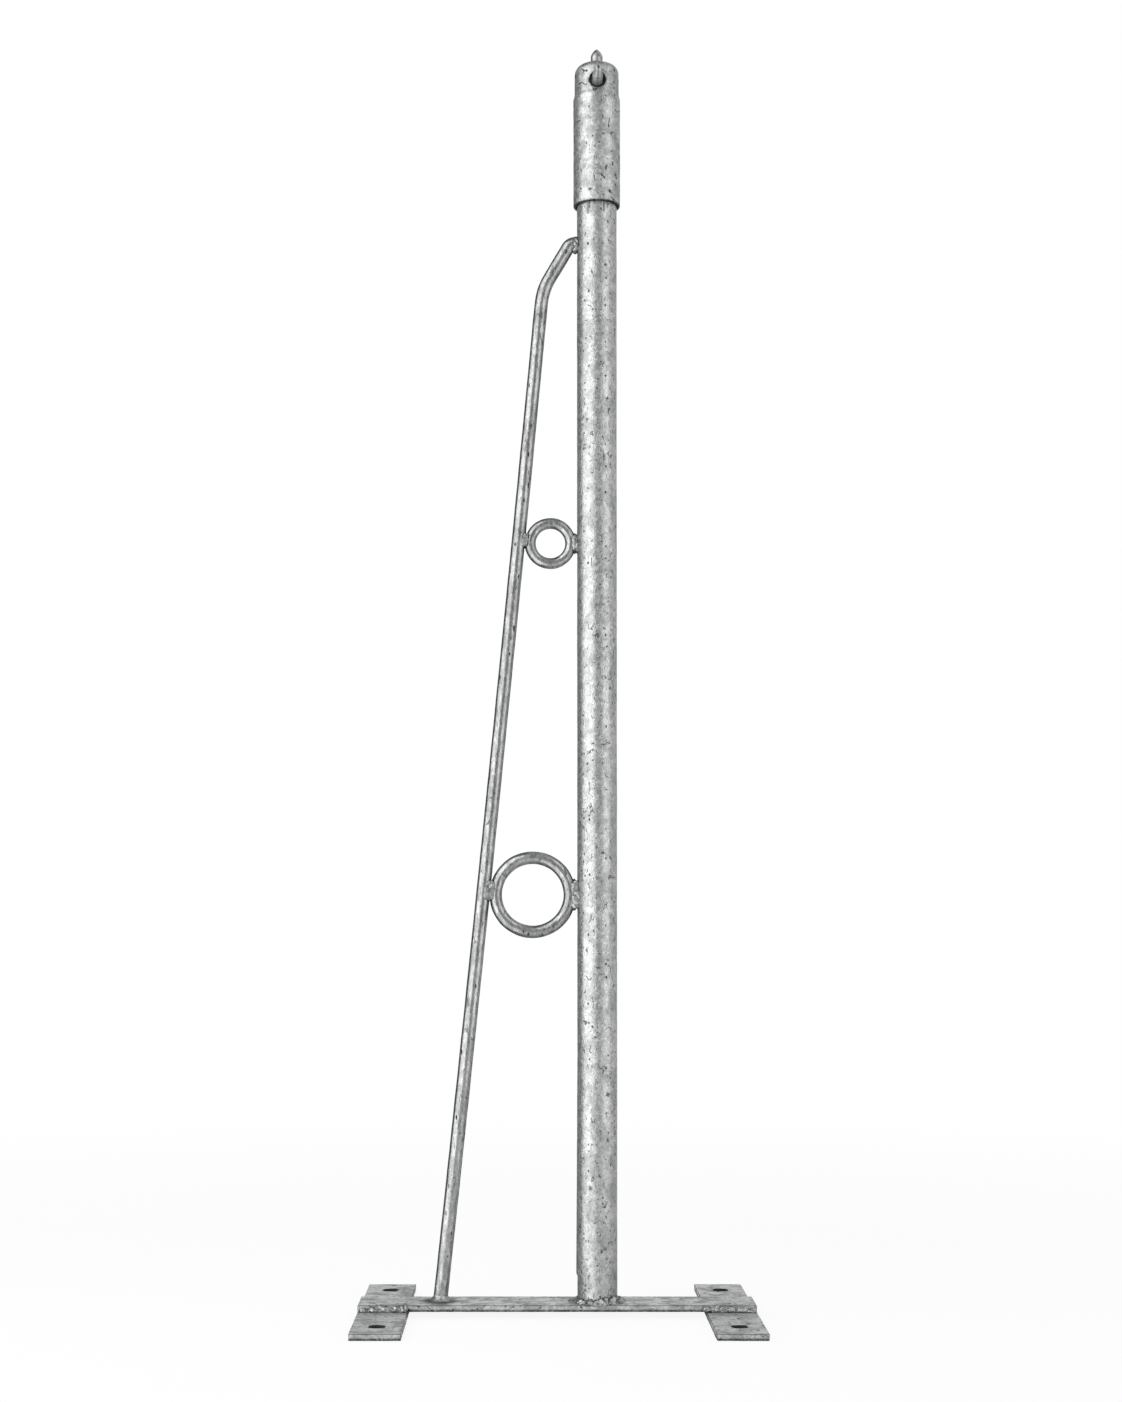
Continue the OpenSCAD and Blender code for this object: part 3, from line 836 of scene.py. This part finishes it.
def makeSpindle(own):
    behind = spindleHigh.y
    length = behind - spindleLow.y
    stub, (neckRadius, neckBack), (endRadius, endBack) = own["stub"], own["neck"], own["stubEnd"]
    grooveRadius, grooveWidth = own["groove"]
    back, front = own["grooveSlope"]
    noseBack, noseFront = own["nose"]
    stubBend, noseBend = own["bends"]
    neck, face = length - neckBack, length - endBack - grooveWidth
    start, end = face + grooveWidth + front, length - own["noseRound"]

    rows = [(stub - own["chamfer"], 0.0), (stub, own["chamfer"]), (stub, neck - own["taper"])]
    rows += rowsTo(rows[-1], (neckRadius, neck), 6)
    rows += rowsTo((neckRadius, neck), (endRadius, face), 6, stubBend)
    rows += [(grooveRadius, face + back), (grooveRadius, face + grooveWidth), (noseBack, start)]
    rows += rowsTo((noseBack, start), (noseFront, end), 8, noseBend)
    for turn in (pi / 2 * k / 8 for k in range(1, 9)):
        radius = max(own["leastRadius"], noseFront * cos(turn))
        rows.append((radius, end + (length - end) * sin(turn)))
    middle = Vector((tubeCentre.x, behind, (spindleLow.z + spindleHigh.z) / 2))
    piece = turnedSolid("crossSpindle", middle, (0, -1, 0), rows, own["sides"],
            "turnedSpindle", "dark_steel", "lock_spindle")
    # painted shade on the spindle's sides, by how far each vertex faces along x
    share, least, wide = own["sideShade"]
    markDark(piece, lambda vertex: share * limit((abs(vertex.normal.x) - least) / wide))


makeSpindle(shaftSettings)
# the plug inside the cap takes the near-black steel of painted shade
for node, finish in (("head_plug", "paintedShadeSteel"), ("top_pin_weld", "weldZinc")):
    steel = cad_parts[node].data.materials
    steel.clear()
    steel.append(finishes[finish])
print("pin and spindle ready")


# A round bar along stations of (point, lean) in the XZ plane
def sweptBar(name, stations, radius, sides, push, loop=False):
    rings = []
    for point, lean in stations:
        out = Vector((cos(lean), 0, -sin(lean)))
        ring = []
        for ray in circleAt(Vector(), 1, sides, out, Vector((0, 1, 0))):
            spot = point + ray * radius
            ring.append(spot + ray * push(spot))
        rings.append(ring)
    return skinRings(name, rings, loop)


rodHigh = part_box("brace_rod")[1]
rodRadius = rodHigh.y
rodTop = rodHigh.z - rodRadius  # height of its axis where it meets the tube
tubeSide = tubeCentre.x - tubeRadius

braceSettings = {
    # the rod's corners, before they are rounded: how far they stand from the tube's side
    "reach": 0.2064, "bendReach": 0.0523, "hookReach": 0.010,
    "bendDrop": 0.071,  # the long bend's corner, below the top
    "bendRadius": 0.095, "hookRadius": 0.013, "bendSteps": (8, 12),
    "sink": 0.004,  # the rod's foot starts in the bar, where it is cut off at this depth
    "footCut": 0.0015,
    "bite": 0.0035,  # its upper end runs into the tube
    "bow": 0.0026,  # the rings' welds drew the rod a little towards the tube
    "thick": 0.0001,
    "coat": 0.0006,  # the zinc ran down and lies thicker at the foot
    "sides": 56, "step": 0.006, "lumps": ((0.030, 0.00022), (0.008, 0.00009)),
}


def bendStations(corner, radius, leanIn, leanOut, steps):
    reach = radius * tan((leanOut - leanIn) / 2)
    centre = corner - reach * Vector((sin(leanIn), 0, cos(leanIn)))
    centre += radius * Vector((cos(leanIn), 0, -sin(leanIn)))
    leans = [leanIn + (leanOut - leanIn) * k / steps for k in range(steps + 1)]
    return [(centre + radius * Vector((-cos(lean), 0, sin(lean))), lean) for lean in leans]


def straightStations(start, end, step):
    count = max(1, round((end[0] - start[0]).length / step))
    return [(start[0].lerp(end[0], k / count), end[1]) for k in range(count)]


def makeBrace(own):
    foot = Vector((tubeSide - own["reach"], 0, barTop))
    bend = Vector((tubeSide - own["bendReach"], 0, rodTop - own["bendDrop"]))
    hook = Vector((tubeSide - own["hookReach"], 0, rodTop))
    lean = atan2(bend.x - foot.x, bend.z - foot.z)
    bendLean = atan2(hook.x - bend.x, hook.z - bend.z)
    below = foot - own["sink"] * Vector((sin(lean), 0, cos(lean)))
    longSteps, tightSteps = own["bendSteps"]
    long = bendStations(bend, own["bendRadius"], lean, bendLean, longSteps)
    tight = bendStations(hook, own["hookRadius"], bendLean, pi / 2, tightSteps)
    stations = straightStations((below, lean), long[0], own["step"]) + long[:-1]
    stations += straightStations(long[-1], tight[0], own["step"]) + tight
    stations.append((Vector((tubeSide + own["bite"], 0, rodTop)), pi / 2))

    def upRod(spot):
        return limit((spot.z - foot.z) / (bend.z - foot.z))

    for point, _ in stations:
        point.x += 4 * own["bow"] * upRod(point) * (1 - upRod(point))

    def push(spot):
        return lumpAt(spot, own["lumps"], 8.0) + own["thick"] + own["coat"] * (1 - upRod(spot))

    piece = sweptBar("braceRod", stations, rodRadius, own["sides"], push)
    for vertex in piece.data.vertices:
        vertex.co.z = max(vertex.co.z, barTop - own["footCut"])
    finishPiece(piece, "galvanisedRod", "galvanised_rod", "brace_rod")


makeBrace(braceSettings)

ringSettings = {"sides": 40, "step": 0.003, "thin": 0.0001, "lumps": ((0.020, 0.00030), (0.007, 0.00012))}


def makeRing(node, name, own, seed):
    low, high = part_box(node)
    centre, bar = (low + high) / 2, high.y
    radius = (high.x - low.x) / 2 - bar
    count = round(2 * pi * radius / own["step"])
    turns = [2 * pi * k / count for k in range(count)]
    stations = [(centre + Vector((cos(turn), 0, sin(turn))) * radius, -turn) for turn in turns]
    piece = sweptBar(name, stations, bar, own["sides"],
            lambda spot: lumpAt(spot, own["lumps"], seed) - own["thin"], loop=True)
    finishPiece(piece, "galvanisedRod", "galvanised_rod", node)


makeRing("large_ring", "largeRing", ringSettings, 11.0)
makeRing("small_ring", "smallRing", ringSettings, 12.0)
print("brace and rings ready")

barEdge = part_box("base_bar")[1].y
collarLow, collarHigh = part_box("brace_foot_weld")
collarCentre = Vector(((collarLow.x + collarHigh.x) / 2, 0, 0))

flatSettings = {
    "corner": 0.0013, "cornerStops": (0.0, 0.3, 0.62, 1.0),
    "cornerRoom": 1.7,  # even stops start this far in, in corners
    "pitch": 0.0026, "thin": 0.00010, "sideThin": 0.0004, "lumps": ((0.035, 0.00014), (0.009, 0.00008)),
    # the rounded edges and the top faces get painted shade
    "edgeLumps": ((0.012, 0.00080), (0.005, 0.00038)), "edgeShade": 0.8, "topShade": 0.10,
    "toe": 0.0024,  # height of the painted contact shadow, a black line along the foot of each side
    "plateSideShade": (0.9, 0.05),  # painted shade on the plates' sides beside the bar's welds: share, and where it has fallen by 1
    # a ring of painted shadow lies round each hole
    "holeAt": (0.260, 0.147), "hole": 0.0125, "holeShadowRing": 0.0030, "holeCut": 0.005,
    "stain": 1.1,  # share at the inner edge of a painted shadow on the bar's top
}
# painted shadows round the feet of tube and brace: middle, inner and outer radius
barFootShadows = ((tubeCentre.x, 0.036, 0.047), (collarCentre.x, 0.0200, 0.0285))
flatPieces = {"base_bar": ("baseBar", 21.0), "cross_plate_left": ("leftPlate", 22.0),
        "cross_plate_right": ("rightPlate", 23.0)}


# Stops along one side of a slab, close together in the rounded edge
def slabStops(low, high, own):
    corner = own["corner"]
    near, far = low + own["cornerRoom"] * corner, high - own["cornerRoom"] * corner
    count = max(2, round((far - near) / own["pitch"]))
    edge = [stop * corner for stop in own["cornerStops"]]
    return ([low + reach for reach in edge] + [near + (far - near) * i / count for i in range(count + 1)]
            + [high - reach for reach in reversed(edge)])


# Flat bar with thick zinc on its edges: a rounded slab, swollen and sunk by noise
def makeSlab(node, name, own, seed, footShadows, holes):
    low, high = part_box(node)
    corner = own["corner"]
    stops = [slabStops(low[i], high[i], own) for i in range(3)]
    vertices, shares, index, faces = [], [], {}, []

    # Painted shade: rounded edges, a contact shadow along each side's foot, darker tops, the plates' sides
    # beside the bar, rings round the holes, and shadows round the feet
    def shareAt(spot, normal, rounded):
        side = 1.0 - abs(normal.z)
        found = [own["edgeShade"] if rounded else 0.0]
        if side > 0.5 and spot.z - low.z < own["toe"]:
            found.append(1.0)
        elif side < 0.5:
            found.append(own["topShade"])
        if holes and abs(normal.x) > 0.7:
            found.append(own["plateSideShade"][0] - (abs(spot.y) - barEdge) / own["plateSideShade"][1])
        for x, y in holes:
            found.append(1.0 - (hypot(spot.x - x, spot.y - y) - own["hole"]) / own["holeShadowRing"])
        for x, inner, outer in footShadows:
            away = hypot(spot.x - x, spot.y)
            if spot.z > high.z - corner and inner < away < outer:
                found.append(own["stain"] * (outer - away) / (outer - inner))
        return max(found)

    def vertexAt(key):
        if key not in index:
            spot = Vector(stops[i][key[i]] for i in range(3))
            heart = Vector(limit(spot[i], low[i] + corner, high[i] - corner) for i in range(3))
            away = spot - heart
            normal = away.normalized()
            side = 1.0 - abs(normal.z)
            push = lumpAt(spot, own["lumps"], seed) - own["thin"]
            push += side * (lumpAt(spot, own["edgeLumps"], seed + 3) - own["sideThin"])
            index[key] = len(vertices)
            vertices.append(heart + normal * (corner + push))
            shares.append(shareAt(spot, normal, sum(abs(part) > 1e-6 for part in away) > 1))
        return index[key]

    for axis in range(3):
        first, second = (axis + 1) % 3, (axis + 2) % 3
        for end in (0, len(stops[axis]) - 1):
            for i in range(len(stops[first]) - 1):
                for k in range(len(stops[second]) - 1):
                    quad = []
                    for a, b in ((0, 0), (1, 0), (1, 1), (0, 1)):
                        key = [0, 0, 0]
                        key[axis], key[first], key[second] = end, i + a, k + b
                        quad.append(vertexAt(tuple(key)))
                    faces.append(quad if end else quad[::-1])
    piece = linkMesh(name, vertices, faces)
    markDark(piece, lambda vertex: shares[vertex.index])
    piece.data.materials.append(finishes["galvanisedFlat"])
    piece.data.materials.append(finishes["paintedShadeSteel"])
    for x, y in holes:
        cutHole(piece, Vector((x, y, 0)), own["hole"], "z", -own["holeCut"], high.z + own["holeCut"])
    finishPiece(piece, "galvanisedFlat", "galvanised_flat", node)


for node, (name, seed) in flatPieces.items():
    if node == "base_bar":
        makeSlab(node, name, flatSettings, seed, barFootShadows, ())
    else:
        across, along = flatSettings["holeAt"]
        across = copysign(across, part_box(node)[0].x)
        makeSlab(node, name, flatSettings, seed, (), ((across, -along), (across, along)))
print("foot ready")

weldSettings = {"bead": 0.005, "spacing": 0.004, "uneven": 0.28, "grain": 0.0008, "depth": 0.0011,
        "roughSize": 0.0035, "melt": 5, "seed": 3, "finish": finishes["weldZinc"]}
# The tree's inputs, their kinds and the settings they take
weldInputs = {
    "Bead Size": ("Float", "bead"), "Spacing": ("Float", "spacing"), "Uneven": ("Float", "uneven"),
    "Grain": ("Float", "grain"), "Rough Depth": ("Float", "depth"), "Rough Size": ("Float", "roughSize"),
    "Melt": ("Int", "melt"), "Seed": ("Int", "seed"), "Finish": ("Material", "finish"),
}


# Overlapping blobs laid along a path, melted together and roughened
def makeWeldTree():
    tree = startTree(bpy.data.node_groups.new("weldBead", "GeometryNodeTree"))
    kinds = {label: kind for label, (kind, _) in weldInputs.items()}
    addSockets(tree, "INPUT", {"Geometry": "Geometry"} | kinds)
    addSockets(tree, "OUTPUT", {"Geometry": "Geometry"})
    given = addNode("NodeGroupInput")
    beadSize, grain, roughSize = given["Bead Size"], given["Grain"], given["Rough Size"]
    path = addNode("GeometryNodeMeshToCurve", {0: given["Geometry"]})
    spots = addNode("GeometryNodeResampleCurve", {"Curve": path[0], "Length": given["Spacing"]},
            mode="LENGTH")
    blob = addNode("GeometryNodeMeshIcoSphere", {"Radius": 1.0, "Subdivisions": 3})
    chance = addNode("FunctionNodeRandomValue", {
        2: maths("SUBTRACT", 1.0, given["Uneven"]), 3: maths("ADD", 1.0, given["Uneven"]),
        "Seed": given["Seed"]}, data_type="FLOAT")
    swell = addNode("GeometryNodeInputNamedAttribute", {"Name": "swell"}, data_type="FLOAT")
    size = times(times(chance[1], beadSize), swell[0])
    turn = addNode("FunctionNodeRandomValue", {"Seed": given["Seed"], 0: (0, 0, 0), 1: (6.28, 6.28, 6.28)},
            data_type="FLOAT_VECTOR")
    laid = addNode("GeometryNodeInstanceOnPoints", {
        "Points": spots[0], "Instance": blob[0], "Rotation": turn[0], "Scale": size})
    real = addNode("GeometryNodeRealizeInstances", {0: laid[0]})
    cloud = addNode("GeometryNodeMeshToVolume", {"Mesh": real[0], "Voxel Size": grain,
            "Interior Band Width": 0.02}, resolution_mode="VOXEL_SIZE")
    melted = addNode("GeometryNodeVolumeToMesh", {"Volume": cloud[0], "Voxel Size": grain,
            "Threshold": 0.1}, resolution_mode="VOXEL_SIZE")
    where = addNode("GeometryNodeInputPosition")[0]
    even = addNode("GeometryNodeBlurAttribute", {0: where, "Iterations": given["Melt"]},
            data_type="FLOAT_VECTOR")
    smooth = addNode("GeometryNodeSetPosition", {"Geometry": melted[0], "Position": even[0]})
    # facets where the metal froze: a cell pattern bent by noise, low along its borders, with painted shade
    # in those valleys
    bend = noiseAt(where, maths("DIVIDE", 1.6, roughSize), 1.0)
    shift = scaled(bend["Color"], times(roughSize, 0.7))
    cells = addNode("TexVoronoi", {
        "Vector": vectorMaths("ADD", where, shift), "Scale": maths("DIVIDE", 1.0, roughSize)},
        feature="DISTANCE_TO_EDGE")["Distance"]
    lifted = maths("SUBTRACT", bend["Fac"], 0.5)
    depth = maths("MULTIPLY_ADD", lifted, 1.2, spread(cells, 0.0, 0.32, -1.0, 0.7))
    depth = times(depth, given["Rough Depth"])
    normal = addNode("GeometryNodeInputNormal")[0]
    moved = addNode("GeometryNodeSetPosition", {"Geometry": smooth[0], "Offset": scaled(normal, depth)})
    broken = spread(bend["Fac"], 0.40, 0.58, 0.15, 1.0)
    valleyShade = times(spread(cells, 0.02, 0.11, 1.0, 0.0), broken)
    stained = addNode("GeometryNodeStoreNamedAttribute", {"Geometry": moved[0], "Name": "dark",
            "Value": valleyShade}, data_type="FLOAT")
    whole = addNode("GeometryNodeRealizeInstances", {0: stained[0]})
    dressed = addNode("GeometryNodeSetMaterial", {"Geometry": whole[0], "Material": given["Finish"]})
    addNode("NodeGroupOutput", {0: dressed[0]})
    return tree


weldTree = makeWeldTree()


# Paths are lists of (point, swell), where swell scales the bead there
def layWeld(name, paths, own, node, shade=None):
    vertices, edges, swells = [], [], []
    for path in paths:
        edges += [(len(vertices) + i, len(vertices) + i + 1) for i in range(len(path) - 1)]
        vertices += [point for point, _ in path]
        swells += [swell for _, swell in path]
    piece = linkMesh(name, vertices, [], edges)
    piece.data.attributes.new("swell", "FLOAT", "POINT").data.foreach_set("value", swells)
    modifier = piece.modifiers.new("weldBead", "NODES")
    modifier.node_group = weldTree
    for socket in weldTree.interface.items_tree:
        if socket.name in weldInputs:
            modifier[socket.identifier] = own[weldInputs[socket.name][1]]
    bake(piece)
    if shade:
        for vertex, share in zip(piece.data.vertices, piece.data.attributes["dark"].data):
            share.value = max(share.value, min(1.0, shade(vertex.co)))
    finishPiece(piece, "weldZinc", "weld_zinc", node)
    return piece


poleWeldSettings = weldSettings | {
    "depth": 0.0016, "roughSize": 0.0135,
    "heavy": -40,  # turn where the welder stopped and the bead is heaviest
    # distance from the tube, height over the bar, start, end, swell, its gain at the heavy side, steps
    "runs": ((0.0044, -0.0006, 0, 360, 0.92, 0.20, 40), (0.0012, 0.0022, 0, 360, 0.84, 0.22, 40),
        (0.0018, 0.0058, -78, -30, 0.98, 0, 12), (0.0086, -0.0022, -58, 0, 0.88, 0, 12),
        (0.0086, -0.0022, 170, 226, 0.84, 0, 10)),
    "line": (-115, 40, 3),  # painted shade in the crevice at the left front: turn, half its length, gain
    "lineAt": (0.001, 0.003),  # its distance from the tube and its width
    "barInset": 0.0004,  # the bead stops at the bar's long edges
}


def weldPoleFoot(own):
    heavy = radians(own["heavy"])
    paths = []
    for away, rise, start, end, swell, gain, steps in own["runs"]:
        turns = [radians(start + (end - start) * i / steps) for i in range(steps + 1)]
        radius = tubeRadius + away
        paths.append([(Vector((tubeCentre.x + radius * cos(turn), radius * sin(turn), barTop + rise)),
                swell + gain * cos(turn - heavy)) for turn in turns])
    lineTurn, half, gain = own["line"]
    lineAway, lineWidth = own["lineAt"]

    def shade(spot):
        side = 1 - abs(degrees(atan2(spot.y, spot.x - tubeCentre.x)) - lineTurn) / half
        away = abs(hypot(spot.x - tubeCentre.x, spot.y) - tubeRadius - lineAway)
        return limit(gain * side) * max(0.0, 1 - away / lineWidth)

    piece = layWeld("poleFootBead", paths, own, "pole_foot_weld", shade)
    edge = barEdge - own["barInset"]
    clampInside(piece, Vector((-1, -edge, 0)), Vector((1, edge, 2)))


weldPoleFoot(poleWeldSettings)

collarSettings = {
    "leg": 0.0098, "height": 0.0115, "lean": 5.76, "flare": (1.9, 1.15), "stand": 0.0004, "sunk": 0.003,
    "steps": 10, "sides": 64, "lumps": ((0.012, 0.0009), (0.005, 0.00035)), "toe": 0.0022,
}
braceLean = radians(collarSettings["lean"])


# The brace's foot weld is one smooth flared collar
def makeBraceCollar(own):
    stand, steps, height = own["stand"], own["steps"], own["height"]
    outFlare, upFlare = own["flare"]
    rows = [(rodRadius + stand + own["leg"] * (1 - k / steps) ** outFlare,
            barTop - stand + height * (k / steps) ** upFlare) for k in range(steps + 1)]
    inner = rodRadius - own["sunk"]
    rows += [(inner, barTop + height), (inner, barTop - stand)]

    def push(ray, r, z):
        reach = limit((r - rodRadius) / own["sunk"])
        return reach * lumpAt(ray * r + Vector((0, 0, z)), own["lumps"], 9.0)

    piece = turnedShell("braceCollar", collarCentre, rows, own["sides"], push)
    # painted shade along the collar's toe, fading out over the toe height
    markDark(piece, lambda vertex: max(0.0, 1 - (vertex.co.z - barTop) / own["toe"]))
    for vertex in piece.data.vertices:
        vertex.co.x += tan(braceLean) * (vertex.co.z - barTop)
    finishPiece(piece, "weldZinc", "weld_zinc", "brace_foot_weld")


makeBraceCollar(collarSettings)

# each pair is a value on top of the rod, and what is added underneath, where most metal lies
headWeldSettings = weldSettings | {
    "seed": 7, "depth": 0.0009, "spacing": 0.0034, "roughSize": 0.0110,
    "reach": (-0.0026, 0.0032), "back": (0.0018, 0.0006), "swell": (0.62, 0.30), "steps": 32,
}


def weldBraceHead(own):
    path = []
    for i in range(own["steps"] + 1):
        turn = 2 * pi * i / own["steps"]
        hang = 0.5 - 0.5 * cos(turn)
        reach, back, swell = (top + hang * more for top, more in
                (own["reach"], own["back"], own["swell"]))
        across, up = (rodRadius + reach) * sin(turn), (rodRadius + reach) * cos(turn)
        curve = tubeRadius - sqrt(tubeRadius ** 2 - across ** 2)
        path.append((Vector((tubeSide + curve - back, across, rodTop + up)), swell))
    layWeld("braceHeadBead", [path], own, "brace_head_weld")


weldBraceHead(headWeldSettings)

padSettings = weldSettings | {
    "bead": 0.0042, "spacing": 0.0030, "uneven": 0.10, "depth": 0.0007, "roughSize": 0.0125, "melt": 10,
    "proud": 0.0080,  # how far in front of the ring's middle a pad lies
    "rowPitch": 0.0034, "inset": (0.0030, 0.004), "taper": (0.7, 0.22),
    "girth": 0.0645,  # radius of the gap beside the ring, which the webs fill
    "webStart": 0.007, "webLength": 0.0055, "webSpare": 0.0015,
    "dull": 0.30, "tipShade": (0.0030, 0.0020),
}
smallPad = padSettings | {"proud": 0.0072, "bead": 0.0038, "roughSize": 0.0100, "girth": 0.0388}


# A pad in the valley between a ring and its neighbour, at the front and the back
def weldRing(node, name, tall, wide, lean, own):
    low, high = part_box(node)
    centre = (low + high) / 2
    along = Vector((sin(lean), 0, cos(lean)))
    rows = max(2, round(wide / own["rowPitch"]))
    sideInset, endInset = own["inset"]
    narrow, fade = own["taper"]
    paths = []
    for side in (-1, 1):
        for k in range(rows):
            aside = (wide / 2 - sideInset) * (2 * k / (rows - 1) - 1)
            half = (tall / 2 - endInset) * sqrt(1 - narrow * (aside / (wide / 2)) ** 2)
            middle = centre + Vector((aside, side * own["proud"], 0))
            paths.append([(middle + along * half * reach, 1 - fade * reach ** 2)
                    for reach in (i / 4 - 1 for i in range(9))])
    # webs fill the crotch above and below the pads, as thick as the gap there
    girth = own["girth"]
    for side in (-1, 1):
        web = []
        for i in range(8):
            up = tall / 2 - own["webStart"] + own["webLength"] * i / 7
            gap = girth - sqrt(girth ** 2 - up ** 2)
            aside = Vector((-own["turn"] * gap / 2, 0, 0))
            web.append((centre + along * side * up + aside, (gap / 2 + own["webSpare"]) / own["bead"]))
        paths.append(web)
    start, fall = own["tipShade"]

    # a darker pad all over, and painted shade growing towards its ends in the crotches
    def shade(spot):
        return max(own["dull"], (abs((spot - centre).dot(along)) - tall / 2 + start) / fall)

    layWeld(name, paths, own, node, shade)


# a pad is to the left of its ring, at the brace, or to the right, at the tube
atBrace, atTube = {"turn": -1}, {"turn": 1, "dull": 0.14}
ringWelds = {  # piece, height, width, lean and settings
    "large_ring_brace": ("largeRingBraceBead", 0.034, 0.0160, braceLean, padSettings | atBrace),
    "large_ring_pole": ("largeRingPoleBead", 0.046, 0.0150, 0, padSettings | atTube),
    "small_ring_brace": ("smallRingBraceBead", 0.025, 0.0125, braceLean, smallPad | atBrace),
    "small_ring_pole": ("smallRingPoleBead", 0.031, 0.0120, 0, smallPad | atTube),
}
for seed, (node, (name, tall, wide, lean, pad)) in enumerate(ringWelds.items(), start=11):
    weldRing(node + "_weld", name, tall, wide, lean, pad | {"seed": seed})

plateWeldSettings = weldSettings | {
    "bead": 0.0047, "spacing": 0.0060, "depth": 0.0014, "roughSize": 0.0130, "melt": 6,
    # height over the plate, distance out from the bar, swell
    "runs": ((0.0004, 0.0012, 1.0), (0.0042, -0.0012, 0.95), (0.0074, -0.0030, 0.72)),
    "inset": 0.003, "steps": 12, "wander": 0.0007, "swells": (0.80, 1.15),
    "toe": (1.3, 0.0014), "toeLumps": ((0.007, 0.0012),),
    "blob": ((-0.0032, -0.0012, 0.0024), (0.002, 0, 0.002), 1.15),  # at the inner corner
}


# Scalloped bead over the bar's whole edge, with a wandering black toe of painted shade on the plate
def weldPlate(node, name, own):
    low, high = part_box(node)
    face = -1 if low.y < 0 else 1
    edge = high.y if face < 0 else low.y
    start, end = low.x + own["inset"], high.x - own["inset"]
    wander, steps = own["wander"], own["steps"]
    dice = random.Random(own["seed"])
    paths = []
    for rise, out, swell in own["runs"]:
        paths.append([(Vector((start + (end - start) * i / steps,
                edge + face * (out + dice.uniform(-wander, wander)), low.z + rise)),
                swell * dice.uniform(*own["swells"])) for i in range(steps + 1)])
    if node == "right_front_weld":
        place, step, swell = own["blob"]
        blob = Vector((low.x, edge, low.z)) + Vector(place)
        paths.append([(blob, swell), (blob + Vector(step), swell)])
    share, fall = own["toe"]

    # painted shade along the toe, its top edge wandering with noise
    def shade(spot):
        rise = spot.z - low.z - lumpAt(Vector((spot.x, 0, 0)), own["toeLumps"], own["seed"])
        return share - rise / fall

    layWeld(name, paths, own, node, shade)


for seed, side in enumerate(("left_front", "left_rear", "right_front", "right_rear"), start=31):
    first, second = side.split("_")
    weldPlate(side + "_weld", first + second.title() + "Bead", plateWeldSettings | {"seed": seed})
print("welds ready")
